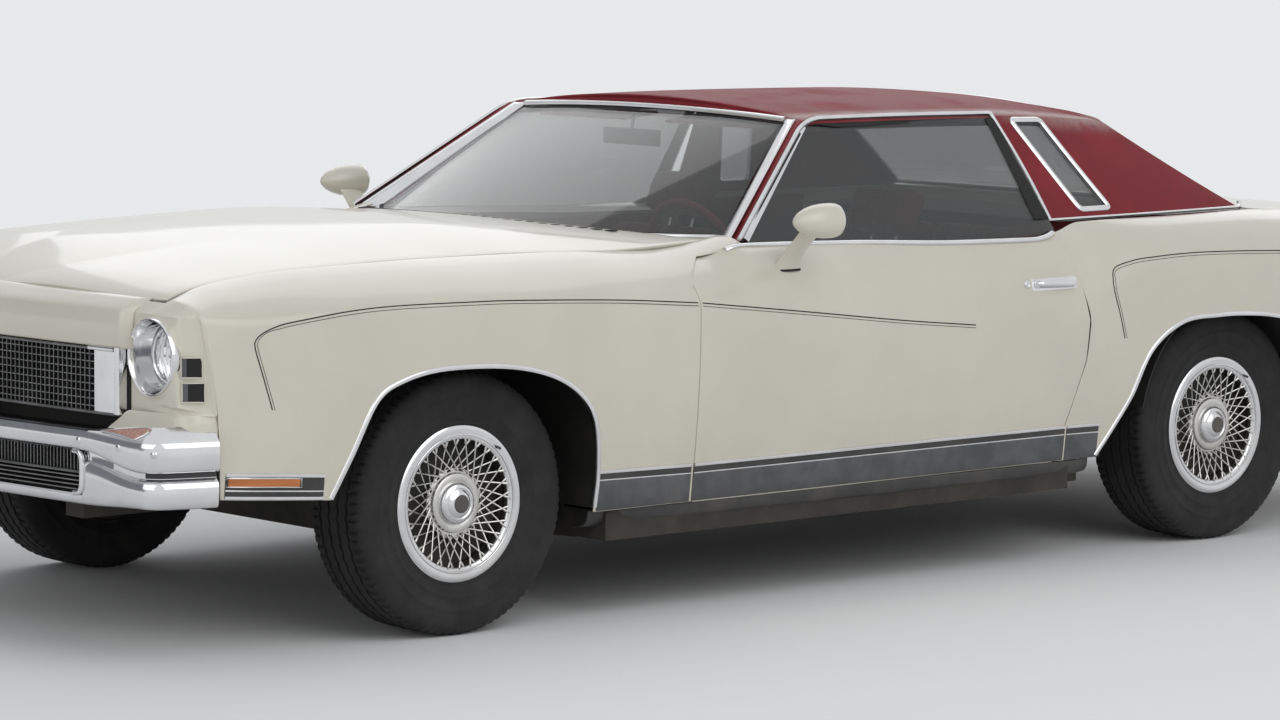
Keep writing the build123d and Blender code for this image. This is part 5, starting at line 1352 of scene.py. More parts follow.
def softBox(x0, x1, y0, y1, z0, z1, r, longAxis=1):
    # bar with rounded long edges
    turns = np.linspace(0, 2 * np.pi, 25)[:-1]
    lo, hi = np.array([x0, y0, z0], float), np.array([x1, y1, z1], float)
    other = [k for k in range(3) if k != longAxis]
    mid, half = (lo + hi) / 2, (hi - lo) / 2
    c, s = np.cos(turns), np.sin(turns)
    corner = np.stack([np.sign(c) * (half[other[0]] - r) + r * c, np.sign(s) * (half[other[1]] - r) + r * s],
                      -1)
    rings = []
    for place in (lo[longAxis], hi[longAxis]):
        ring = np.zeros((24, 3))
        ring[:, other[0]] = mid[other[0]] + corner[:, 0]
        ring[:, other[1]] = mid[other[1]] + corner[:, 1]
        ring[:, longAxis] = place
        rings.append(ring)
    return np.concatenate(rings), tubeFaces(2, 24)


def bowed(mesh):
    points, faces = mesh
    return points + np.stack([noseBow * (1 - (points[:, 1] / noseHalf) ** 2), *np.zeros((2, len(points)))],
                             -1), faces


grillePlan = dict(back=2518, front=2553, meshHalf=592, half=691, low=623, high=791, columns=66, rows=9,
                  bar=2.6)


def makeGrille(g):
    half, low, high, front, back = g["half"], g["low"], g["high"], g["front"], g["back"]
    ends = np.linspace(-half + 12, half - 12, 31)
    frameBars = [softBox(back, front - 4, a, c, z, z + 7, 3) for z in (low, high - 7) for a,
                 c in zip(ends[:-1], ends[1:])]
    makePiece("grilleFrame", bowed(joined(*frameBars)), meshMetal)
    rim = []
    for side in (1, -1):
        for near, far, ahead, r in ((half - 12, half + 6, front + 1, 5),
                                    (g["meshHalf"] + 1, half - 19, front - 7, 5)):
            y = sorted((side * near, side * far))
            rim.append(softBox(back - 8, ahead, *y, low + 5, high + 5, r, longAxis=2))
        y = sorted((side * (g["meshHalf"] - 16), side * (half - 17)))
        rim.append(softBox(back, front - 2, *y, high - 8, high + 5, 4))
    makePiece("grilleRim", bowed(joined(*rim)), chrome, replaced="grille")
    bars = []
    inner = g["meshHalf"]
    for k in range(1, g["columns"]):
        y = -inner + 2 * inner * k / g["columns"]
        bars.append(box(back + 6, back + 26, y - g["bar"] / 2, y + g["bar"] / 2, low + 5, high - 5))
    for k in range(1, g["rows"]):
        z = low + (high - low) * k / g["rows"]
        ends = np.linspace(-inner, inner, 25)
        bars += [box(back + 9, back + 24, a, c, z - g["bar"] / 2, z + g["bar"] / 2) for a,
                 c in zip(ends[:-1], ends[1:])]
    makePiece("grilleMesh", bowed(joined(*bars)), meshMetal)
    makePiece("grilleBack", box(back, back + 4, -half - 12, half + 12, low - 4, high + 4), blackGap)
    print("grille made")


makeGrille(grillePlan)


# plan line of the bumper's outermost face, from the middle to its end at the fender
bumperPlan = [(2671.5, 0), (2669, 210), (2657.5, 420), (2640, 640), (2617, 848), (2606, 884), (2582, 912),
              (2546, 929), (2492, 946), (2436, 961)]
# across is upward, out is away from the body
browProfile = [(-36, 588), (-98, 588), (-98, 592), (-12, 594), (-4, 592), (-1, 586), (0, 570), (-1, 552),
               (-5, 545), (-12, 541), (-24, 540), (-28, 536), (-36, 536)]
lowerProfile = [(-36, 408), (-30, 402), (-22, 404), (-17, 410), (-14, 430), (-13, 470), (-14, 500),
                (-17, 510), (-24, 515), (-25, 519), (-25, 538), (-36, 538)]
lipProfile = [(-36, 408), (-30, 402), (-22, 404), (-17, 410), (-14, 420), (-14, 426), (-18, 430), (-36, 430)]
# the same points at the corner, where the top slopes and the faces reach lower
browCorner = [(-36, 588), (-98, 604), (-98, 608), (-46, 613), (-5, 578), (-2, 573), (0, 564), (-1, 513),
              (-5, 506), (-12, 502), (-24, 501), (-28, 497), (-36, 497)]
lowerCorner = [(-36, 416), (-30, 410), (-20, 411), (-12, 417), (-8, 430), (-6, 455), (-8, 469), (-11, 477),
               (-18, 481), (-25, 486), (-25, 503), (-36, 503)]
cornerFrom, cornerTo = 640, 862
intakeHalf = 640


def cornerMix(y):
    t = np.clip((np.abs(y) - cornerFrom) / (cornerTo - cornerFrom), 0, 1)
    return t * t * (3 - 2 * t)


def sweptBumper(profile, plan, span=None, corner=None):
    line = curved(plan, 120)
    if span:
        line = line[(line[:, 1] >= span[0]) & (line[:, 1] <= span[1])]
    ahead = unit(np.gradient(line, axis=0))
    out = np.stack([ahead[:, 1], -ahead[:, 0]], -1)
    profile = np.array(profile, float)
    change = np.array(corner, float) - profile if corner else 0 * profile
    section = profile + change * cornerMix(line[:, 1])[:, None, None]
    points = np.concatenate([line[:, None] + out[:, None] * section[..., :1], section[..., 1:]], -1)
    return points.reshape(-1, 3), tubeFaces(len(line), len(profile))


def bothSides(mesh):
    return joined(mesh, mirrored(mesh))


bumperLine = curved(bumperPlan, 400)


def makeFrontBumper():
    shape = joined(
        bothSides(sweptBumper(browProfile, bumperPlan, corner=browCorner)),
        bothSides(sweptBumper(lowerProfile, bumperPlan, (intakeHalf, 2000), lowerCorner)),
        bothSides(sweptBumper(lipProfile, bumperPlan, (-1, intakeHalf + 12))),
    )
    makePiece("frontBumper", shape, chrome, replaced="front_bumper")
    recess = sweptBumper([(-30, 488), (-23.5, 488), (-23.5, 501), (-30, 501)], bumperPlan, (868, 2000))
    makePiece("bumperRecess", bothSides(recess), darkTrim)

    def onFace(y, z, out=0.0):
        x = np.interp(y, bumperLine[:, 1], bumperLine[:, 0])
        return np.array([x + out, y, z])

    # rounded chrome edge of the intake at each end, and a line above and below it
    end = [onFace(intakeHalf - 30, 536, -15), onFace(intakeHalf - 8, 534, -12),
           onFace(intakeHalf + 2, 520, -12),
           onFace(intakeHalf + 4, 484, -12), onFace(intakeHalf + 2, 448, -12),
           onFace(intakeHalf - 8, 434, -12),
           onFace(intakeHalf - 30, 431, -15)]
    makePiece("intakeRim", bothSides(tube(curved(end, 40), 7.0, 14)), chrome)
    fins = []
    for k in range(-48, 49):
        y = k * 13.2
        x = float(onFace(abs(y), 0)[0])
        fins.append(box(x - 52, x - 28, y - 1.5, y + 1.5, 486, 536))
    profiles = [[(-52, z), (-26, z - 3), (-26, z), (-52, z + 3)] for z in (440, 451, 462, 473)]
    profiles.append([(-48, 481), (-22, 480), (-20, 483), (-22, 486), (-48, 487)])
    louvres = [bothSides(sweptBumper(profile, bumperPlan, (-1, intakeHalf))) for profile in profiles]
    makePiece("intakeFins", joined(*fins, *louvres), meshMetal)
    makePiece("intakeBack", bothSides(sweptBumper([(-60, 410), (-54, 410), (-54, 560), (-60, 560)],
                                                  bumperPlan, (-1, 690))), blackGap)
    bolts = []
    for y, z, sideways in ((644, 566, 0.1), (792, 560, 0.13), (901, 550, 0.75)):
        axis = unit(np.array([1.0, sideways, 0]))
        centre = onFace(y, z) - axis * 2.5
        bolts.append(turned([(-6, 9.5), (2.2, 9.2), (4.2, 7), (5.4, 3.5), (5.8, 0.01), (-6, 0.01)], centre,
                            axis, 24))
    makePiece("bumperBolts", bothSides(joined(*bolts)), brightTrim)
    print("front bumper made")


def makeParkingLamps():
    # parking lamp let into the brow's top: pointed towards the middle
    def onSlope(y, rise, lift):
        # rise goes from the lower edge of the brow's top slope to its upper edge
        k = np.clip(np.searchsorted(bumperLine[:, 1], y), 1, len(bumperLine) - 2)
        ahead = unit(bumperLine[k + 1] - bumperLine[k - 1])
        out = np.stack([ahead[:, 1], -ahead[:, 0]], -1)
        mix = cornerMix(y)[:, None]
        a, b = (np.array(browProfile[i], float) + (np.array(browCorner[i], float) - browProfile[i]) * mix
                for i in (4, 3))
        section = a + (b - a) * rise[:, None]
        lean = unit(np.stack([b[:, 1] - a[:, 1], a[:, 0] - b[:, 0]], -1))
        section = section + lean * np.asarray(lift, float)[:, None]
        return np.concatenate([bumperLine[k] + out * section[:, :1], section[:, 1:]], -1)

    outline = curved([(722, 0.46), (760, 0.66), (820, 0.82), (866, 0.88), (874, 0.82), (862, 0.5),
                      (842, 0.16), (832, 0.13), (780, 0.3),
                      (722, 0.46)], 72)[:-1]
    centre = outline.mean(0)
    rings = []
    for f, lift in ((1.0, -2), (1.0, 3), (0.94, 5.5), (0.7, 7), (0.35, 7.8), (0.02, 8)):
        ring = centre + (outline - centre) * f
        rings.append(onSlope(ring[:, 0], ring[:, 1], np.full(len(ring), float(lift))))
    grid = np.array(rings)
    lens = (grid.reshape(-1, 3), gridFaces(*grid.shape[:2], closedColumns=True)[:, ::-1].tolist()
            + [list(range(len(outline))), [5 * len(outline) + k for k in range(len(outline))][::-1]])
    makePiece("parkingLens", bothSides(lens), parkingLens, replaced="marker_lamps")
    edge = onSlope(*(centre + (outline - centre) * 1.04).T, np.full(len(outline), 2.5))
    makePiece("parkingRim", bothSides(tube(edge, 2.6, 10, closed=True)), chrome)
    # painted filler between the bumper's top and the lamp pods
    fillerPath = np.array([(2556, 640), (2548, 720), (2530, 800), (2510, 880), (2484, 914), (2450, 926),
                           (2421, 934)], float)
    line2 = curved(fillerPath, 30)
    rise = np.clip((line2[:, 1] - 640) / 80, 0.06, 1)
    grid = np.array([[(x + dx, y + dy, 586 + dz * r) for (x, y), r in zip(line2, rise)]
                     for dx, dy, dz in ((4, 1, 0), (2, 0, 20), (-1, -1, 48), (-8, -3, 56))])
    makePiece("bumperFiller", bothSides(gridSheet(grid, thickness=4, radius=1.5, hint=(1, 0, 1))), paint)
    print("parking lamps and bumper filler made")


makeFrontBumper()
makeParkingLamps()


# Trim on the body side: arch lips, sill mouldings, pinstripes, marker lamp, handle, belt

trimBodies = {"fender": "root", "door": "door_{side}", "quarter": "root"}
stripWide = [(-5, -1.5), (-5, 2.5), (-3.6, 4.2), (0, 4.8), (3.6, 4.2), (5, 2.5), (5, -1.5)]
stripThin = [(-1.8, -1), (-1.8, 1.2), (-0.9, 2.0), (0.9, 2.0), (1.8, 1.2), (1.8, -1)]
archLip = [(-3, -10), (-4, 0), (-2.6, 3.2), (1, 4.6), (6, 4.2), (9, 2.4), (10, 0), (9.6, -1), (0, -1),
           (-0.5, -10)]
# x, top of the sill moulding
sillLevels = [(1198, 409), (867, 403), (-576, 401), (-809, 399)]
sillSpans = {"fender": (1192, 861), "door": (851, -607), "quarter": (-614, -746)}
noseBand = [(2403, 492, 430), (2240, 481, 418), (2106, 470, 408)]


def sideStrip(part, path, profile, lift=0.0):
    # path lists x and z on the body side
    path = np.asarray(path, float)
    s = findS(part, path[:, 0], path[:, 1])
    points, out = sidePoint(part, path[:, 0], s), sideNormal(part, path[:, 0], s)
    return carried(profile, points + out * lift, out)


def sideBand(part, x, lowZ, highZ, lift, thickness=3.0, rows=5):
    xs, z = np.broadcast_arrays(x, lowZ + (highZ - lowZ) * np.linspace(0, 1, rows)[:, None])
    s = findS(part, xs, z)
    grid = sidePoint(part, xs, s) + sideNormal(part, xs, s) * lift
    return gridSheet(grid, thickness=thickness, radius=1, hint=(0, 1, 0))


def ribbon(part, path, width, lift=0.5):
    path = curved(path, 160)
    s = findS(part, path[:, 0], path[:, 1])
    points, out = sidePoint(part, path[:, 0], s), sideNormal(part, path[:, 0], s)
    return carried([(-width / 2, -0.2), (-width / 2, lift), (width / 2, lift), (width / 2, -0.2)], points,
                   out)


def levelsAt(x, table, column):
    rows = np.array(table, float)[::-1]
    return np.interp(x, rows[:, 0], rows[:, column])


def trim(name, shape, part, material):
    makePair(name, shape, material, trimBodies[part])


def makeSideTrim():
    for part, nodes in (("fender", fenderArch), ("quarter", quarterArch)):
        arch = curved(nodes, 120)
        trim(f"archLip.{part}", sideStrip(part, arch[:, :2], archLip), part, chrome)
    for part, (x0, x1) in sillSpans.items():
        x = np.linspace(x0, x1, 48)
        top = levelsAt(x, sillLevels, 1)
        trim(f"sillTop.{part}", sideStrip(part, np.stack([x, top - 3], -1), stripWide), part, chrome)
        trim(f"sillStripe.{part}", sideBand(part, x, top - 24, top - 5, 1.0), part, darkTrim)
        trim(f"sillLine.{part}", sideStrip(part, np.stack([x, top - 25], -1), stripThin, 1.2), part,
             brightTrim)
        trim(f"sillBand.{part}", sideBand(part, x, 301.5, top - 26, 1.2), part, brushedBand)
    x = np.linspace(2400, 2108, 30)
    top, low = levelsAt(x, noseBand, 1), levelsAt(x, noseBand, 2)
    trim("noseTop", sideStrip("fender", np.stack([x, top - 3], -1), stripWide), "fender", chrome)
    trim("noseBand", sideBand("fender", x, low + 3, top - 6, 0.8), "fender", darkTrim)
    trim("noseFoot", sideStrip("fender", np.stack([x, low + 2], -1), stripWide), "fender", chrome)
    trim("noseLine", sideStrip("fender", np.stack([x, low + 20], -1), stripThin, 1), "fender", brightTrim)
    x = np.linspace(2392, 2184, 24)
    trim("sideMarker", sideBand("fender", x, levelsAt(x, noseBand, 1) - 31, levelsAt(x, noseBand, 1) - 12,
                                3.0, 6.0), "fender", amberLens)
    x = np.linspace(2398, 2178, 24)
    rim = np.concatenate([np.stack([x, levelsAt(x, noseBand, 1) - 10.5], -1),
                          np.stack([x[::-1], levelsAt(x[::-1], noseBand, 1) - 32.5], -1)])
    points = onSide("fender", rim)
    trim("markerRim", tube(points + (0, 1.5, 0), 2.0, 8, closed=True), "fender", chrome)
    # pinstripes: one clear line with a fainter one beside it, from the front hook back to the door
    front = [(2275, 645), (2300, 722), (2325, 804), (2318, 826), (2294, 841), (2250, 855), (2197, 863),
             (2042, 879), (1885, 885), (1650, 883), (1490, 879), (1150, 862), (864, 839.5)]
    hood = [(849, 838), (484, 796), (90, 749), (-213, 718)]
    back = [(-826, 645), (-806, 716), (-784, 788), (-785, 822), (-799, 850), (-850, 866), (-925, 876),
            (-1134, 883), (-1486, 872), (-1800, 852), (-2200, 815), (-2500, 780)]
    for name, path, part in (("Front", front, "fender"), ("Door", hood, "door"), ("Rear", back, "quarter")):
        path = np.array(path, float)
        trim(f"pinstripe{name}", ribbon(part, path, 3.2), part, blackGap)
        inner = path + (0, -8)
        inner[:, 0] = np.minimum(np.maximum(inner[:, 0], path[:, 0].min()), path[:, 0].max())
        if name == "Front":
            inner = np.concatenate([path[:5] + (-8, -1), path[5:] + (0, -8)])
            inner[-1, 0] = 864
        if name == "Rear":
            inner = np.concatenate([path[:4] + (-8, 0), path[4:] + (0, -8)])
        trim(f"pinstripeFine{name}", ribbon(part, inner, 1.6), part, darkTrim)
    print("side trim made")


def makeBeltAndHandle():
    # belt moulding over the door's top edge, and its sweep up at the rear
    x = np.linspace(655, -596, 80)
    edge = sidePoint("door", x, np.full(80, 2.975))
    edge[-6:, 2] += np.array([0, 1, 3, 6, 11, 18])
    beltProfile = [(-8, -2), (-8, 3), (-5, 6), (0, 7.5), (5, 6), (8, 2.5), (8, -2)]
    trim("belt", carried(beltProfile, edge, (0, 0.45, 0.9)), "door", chrome)
    felt = edge + (0, -14, 2)
    trim("beltFelt", carried([(-9, -10), (-9, 2), (9, 2), (9, -10)], felt, (0, 0, 1)), "door", blackGap)
    # handle: two posts, a push bar and a round lock ahead of it
    x = np.linspace(-474, -636, 30)
    handle = sidePoint("door", x, findS("door", x, np.linspace(821, 813, 30)))
    ends = np.clip(np.minimum(np.arange(30), 29 - np.arange(30)) / 3.0, 0.3, 1)
    trim("handle", joined(
        tube(handle + (0, 1, 0) * (14 * np.sqrt(ends))[:, None], 7.2 * np.sqrt(ends), 14, squash=1.25),
        tube(handle[[4, 4]] + ((0, -6, 0), (0, 14, 0)), 8, 14),
        tube(handle[[25, 25]] + ((0, -6, 0), (0, 14, 0)), 8, 14),
        turned([(-2, 13), (3, 12.5), (5, 11), (5.5, 0.01), (-2, 0.01)], handle[0] + (-6, 1, -1), (0, 1, 0),
               24)), "door", chrome)
    trim("handleDish", sideBand("door", np.linspace(-462, -648, 20), 800.0, 833.0, 0.4, 2.0), "door", chrome)
    lock = onSide("door", [(-439, 820)])[0]
    trim("lock", turned([(-3, 12), (3, 12), (6, 9.5), (6.5, 6), (5.2, 4.5), (5.2, 0.01), (-3, 0.01)], lock,
                        (0, 1, 0), 32), "door", chrome)
    # cover below the doors, tucked under
    section = [(940, 295), (939, 282), (935, 268), (925, 257), (905, 250), (880, 247)]
    x = np.linspace(1186, -742, 40)
    tuckIn = 26 * np.abs((x - 222) / 964) ** 10 + 0.000006 * (x - 222) ** 2
    grid = np.array([np.stack([x, y - tuckIn, z + 0 * x], -1) for y, z in section])
    makePair("sillCover", gridSheet(grid, thickness=3, radius=2, hint=(0, 1, 0)), darkTrim)
    print("belt, handle and sill cover made")


makeSideTrim()
makeBeltAndHandle()


# Sport mirror on its flared stem

mirrorPlace = np.array([478.0, 1040.0, 1046.0])
mirrorShell = [(-56, 0.01), (-54, 31), (-54, 40), (-57, 44.5), (-54, 46.5), (-38, 48), (-10, 47.5), (20, 44),
               (46, 37), (68, 27.5), (84, 16), (93, 6), (95, 0.01)]
mirrorFace = [(-56.5, 0.01), (-56.5, 38.5), (-53, 38.5), (-53, 0.01)]
# height, x and y of the middle, half length, half width
mirrorStem = [(905, 490, 922, 54, 21), (915, 489, 925, 48, 18), (935, 487, 936, 42, 15),
              (965, 484, 960, 38, 13), (1000, 481, 994, 38, 13), (1030, 480, 1024, 42, 15)]


def stackOfOvals(levels, sides=32):
    a = np.linspace(0, 2 * np.pi, sides, endpoint=False)
    table = smoothRows(np.array(levels, float), 24)
    rings = np.array([np.stack([x + hl * np.cos(a), y + hw * np.sin(a), np.full(sides, z)], -1) for z, x, y,
                      hl, hw in table])
    return rings.reshape(-1, 3), tubeFaces(len(table), sides)


def smoothRows(table, count):
    at = np.linspace(table[0, 0], table[-1, 0], count)
    return np.stack([at] + [smoothAcross(table[:, 0], table[:, k], at) for k in range(1, table.shape[1])], -1)


def makeMirrors():
    shell = turned(mirrorShell[:-1] + [(95, 0.01), (60, 0.01)], mirrorPlace, (1, 0, 0), 64)
    rim = turned([(-57, 39), (-59, 42), (-57, 45.6), (-52, 46.8), (-50, 45), (-54, 39)], mirrorPlace,
                 (1, 0, 0), 64)
    gasket = stackOfOvals([(903, 490, 922, 57, 24), (906, 490, 922, 57, 24), (909, 490, 922, 55, 22)])
    makePair("mirrorHead", shell, paint, onDoor, replaced="mirror_{side}")
    makePair("mirrorStem", stackOfOvals(mirrorStem), paint, onDoor)
    makePair("mirrorRim", rim, chrome, onDoor)
    makePair("mirrorFace", turned(mirrorFace, mirrorPlace, (1, 0, 0), 48), mirrorGlass, onDoor)
    makePair("mirrorGasket", gasket, blackGap, onDoor)


makeMirrors()


# Glass with its chrome surrounds, screen pillars and drip rails

glassSlope = (838 - 626) / (1288 - 985)
screenBase = arcPoints((572, 752), (868, 0), (572, -752), 61)
screenTop = arcPoints((161, 566), (190, 0), (161, -566), 61)
screenLow = np.concatenate([screenBase, np.full((61, 1), 986.0)], 1)
screenHigh = np.concatenate([screenTop, 1288.0 + 18 * (1 - (screenTop[:, 1:] / 566) ** 2)], 1)
pillarFoot = [(573, 753), (595, 812), (602, 843), (572, 838)]
pillarHead = [(160, 566), (165, 608), (171, 639), (142, 634)]
brightBead = [(-5, -3), (-6, 2), (-4, 5.5), (0, 7), (4, 5.5), (6, 2), (5, -3)]
broadBead = [(-8, -3), (-9, 2), (-6, 7), (0, 9), (6, 7), (9, 2), (8, -3)]


def makeGlasshouse():
    f = np.linspace(0, 1, 24)[:, None, None]
    # pane bows forward a little between its edges
    pane = screenLow + (screenHigh - screenLow) * f + (9.0, 0, 6.0) * (4 * f * (1 - f)) * 0.8
    makePiece("windscreen", gridSheet(pane, thickness=5, radius=1, hint=(1, 0, 1)), clearGlass,
              replaced="windshield")
    out = (0.55, 0, 0.83)
    makePiece("screenHeader", carried(broadBead, screenHigh + (2, 0, 3), (0.62, 0, 0.78)), chrome)
    makePiece("screenFoot", carried(brightBead, screenLow + (6, 0, 3), out), chrome)
    makePiece("screenSeal", carried([(-9, -6), (-9, 1.5), (9, 1.5), (9, -6)], screenLow + (1, 0, 5), out),
              blackGap)
    foot, head = np.array(pillarFoot, float), np.array(pillarHead, float)
    k = np.linspace(0, 1, 30)[:, None, None]
    footRing, headRing = (along(np.concatenate([c, c[:1]]), 33)[:-1] for c in (foot, head))
    section = np.concatenate([footRing + (headRing - footRing) * k,
                              np.broadcast_to(976 + (1292 - 976) * k, (30, 32, 1))], -1)
    pillar = section.reshape(-1, 3), tubeFaces(30, 32)

    def onPillar(a, b, mix, lift=(0, 0, 0)):
        start, end = foot[a] * (1 - mix) + foot[b] * mix, head[a] * (1 - mix) + head[b] * mix
        t = np.linspace(0, 1, 30)[:, None]
        return np.concatenate([start + (end - start) * t, belt + (1291 - belt) * t], 1) + lift

    # bright moulding from the screen's edge to the pillar's corner, with its bead
    mix = np.linspace(0, 1, 6)
    band = np.array([onPillar(0, 1, m, (2 + 3 * np.sin(np.pi * m), 1, 2)) for m in mix])
    screenSide = joined(gridSheet(band, thickness=4, radius=1, hint=(1, 0.3, 0)),
                        tube(onPillar(1, 1, 0, (3, 1, 2)), 4.2, 12))
    # drip rail: up the pillar, round its head and back along the roof's edge
    up = onPillar(2, 3, 0.25, (0, 4, 2))[:-3]
    railX = np.linspace(96, -600, 40)
    rail = roofPoint(railX, 1.03) + (0, 6, 6)
    bend = np.linspace(0, 1, 14)[:, None]
    corner = up[-1] + (up[-1] - up[-8]) * 0.42
    turn = (1 - bend) ** 2 * up[-1] + 2 * bend * (1 - bend) * corner + bend**2 * rail[0]
    z = np.linspace(1284, 986, 24)
    x = -605 - 57 * ((1284 - z) / 298) - 9 * np.sin(np.pi * (1284 - z) / 298)
    down = roofPoint(x, pOfZ(x, z)) + (0, 2, 0)
    path = along(np.concatenate([up[:-1], turn, rail[1:], down]), 260)
    lean = np.clip((path[:, :1] - 90) / 80, 0, 1)
    onPost, onRoof = unit(np.array([[0.55, 0.72, 0.45]])), unit(np.array([[0.0, 0.9, 0.45]]))
    outward = unit(lean * onPost + (1 - lean) * onRoof)
    drip = carried([(-7, -4), (-8, 3), (-5, 8), (0, 9.5), (4, 8.5), (6, 5), (6, 1), (3, -1)], path, outward)
    # dark seal under the rail, and a dark strip along the rail's run up the pillar
    sealX, rise = np.linspace(124, -600, 60), np.linspace(0, 1, 6)[:, None, None]
    sealRise = np.interp(sealX, (-600, 40, 124), (0.968, 0.968, 1.0))
    sealLow, sealHigh = roofPoint(sealX, sealRise) + (0, 4, -9), roofPoint(sealX, 1.03) + (0, 4, 1)
    seal = joined(gridSheet(sealLow + (sealHigh - sealLow) * rise, thickness=2, radius=0.5, hint=(0, 1, 0)),
                  carried([(-6, -6), (-6, 2), (5, 2), (5, -6)], up + (-11, -2, -2), (0.5, 0.75, 0.45)))
    makePair("pillar", pillar, pillarVinyl)
    makePair("screenSide", screenSide, chrome)
    makePair("dripRail", drip, chrome)
    makePair("dripSeal", seal, blackGap)
    print("screen, pillars and drip rails made")


def makeDoorGlass():
    # side glass on its slope
    z = np.linspace(952, 1279, 24)[:, None]
    frontX, rearX = 561 - (z - belt) * 423 / 305, np.interp(z, (950, belt, 1281), (-640, -638, -603))
    x = frontX + (rearX - frontX) * np.linspace(0, 1, 30)
    y = 841.5 - glassSlope * (z - belt) + 0 * x
    sidePane = gridSheet(np.stack([x, y, z + 0 * x], -1), thickness=4.4, radius=1, hint=(0, 1, 0))
    # dark edge along the glass's rear end
    endX = rearX + (34 + 26 * (1279 - z) / 294) * np.linspace(0, 1, 5)
    endFace = np.stack([endX, 844.6 - glassSlope * (z - belt) + 0 * endX, z + 0 * endX], -1)[3:]
    glassEdge = gridSheet(endFace, thickness=1.2, radius=0.3, hint=(0, 1, 0))
    frameZ = np.linspace(belt, 1276, 30)
    frameLine = np.stack([568 - (frameZ - belt) * 423 / 305, 845 - glassSlope * (frameZ - belt), frameZ], -1)
    glassFrame = carried([(-9, -2), (-9, 2.5), (-6, 4), (6, 4), (9, 2.5), (9, -2)], frameLine,
                         (0, 0.82, 0.57))
    makePair("doorGlass", sidePane, sideGlass, onDoor, replaced="door_glass_{side}")
    makePair("glassFrame", glassFrame, brightTrim, onDoor)
    makePair("glassEdge", glassEdge, blackGap, onDoor)
    print("door glass made")


def makeOperaWindows():
    # opera window: pane and rounded bezel
    corners = np.array(sailWindowCorners, float)
    loop = []
    for i in range(4):
        a, b, c = corners[i - 1], corners[i], corners[(i + 1) % 4]
        p, q = b + (a - b) / np.linalg.norm(a - b) * 18, b + (c - b) / np.linalg.norm(c - b) * 18
        t = np.linspace(0, 1, 7)[:, None]
        loop.append((1 - t) ** 2 * p + 2 * t * (1 - t) * b + t**2 * q)
    loop = np.concatenate(loop)
    loop = along(np.concatenate([loop, loop[:1]]), 121)[:-1]
    edge = roofPoint(loop[:, 0], pOfZ(loop[:, 0], loop[:, 1]))
    out = unit(np.array([0.0, 0.83, 0.56]))
    bezel = carried([(-9, -12), (-10, 2), (-7, 5), (-1, 6), (5, 4.5), (8, 1), (8, -2), (2, -3), (2, -12)],
                    edge, out, closed=True)
    middle = loop.mean(0)
    rings = np.array([middle + (loop - middle) * s for s in (1.0, 0.8, 0.55, 0.3, 0.02)])
    paneGrid = roofPoint(rings[..., 0], pOfZ(rings[..., 0].ravel(),
                                             rings[..., 1].ravel()).reshape(rings.shape[:2]), 8)
    operaPane = sheetPanel(paneGrid.reshape(-1, 3), gridFaces(5, 120, closedColumns=True), thickness=4,
                           radius=0.5, hint=(0, 1, 0))
    # moulding along the foot of the vinyl, rounded at its rear end
    x = np.linspace(-657, -1545, 60)
    foot = roofPoint(x, pOfZ(x, np.full(60, 986.0))) + (0, 2, 0)
    foot = np.concatenate([foot, foot[-1] + [(-14, -3, 2), (-24, -10, 8), (-28, -20, 16)]])
    vinylFoot = carried(brightBead, foot, (0, 0.95, 0.3))
    makePair("operaBezel", bezel, chrome)
    makePair("operaPane", operaPane, sideGlass)
    makePair("vinylFoot", vinylFoot, chrome)
    print("opera windows made")


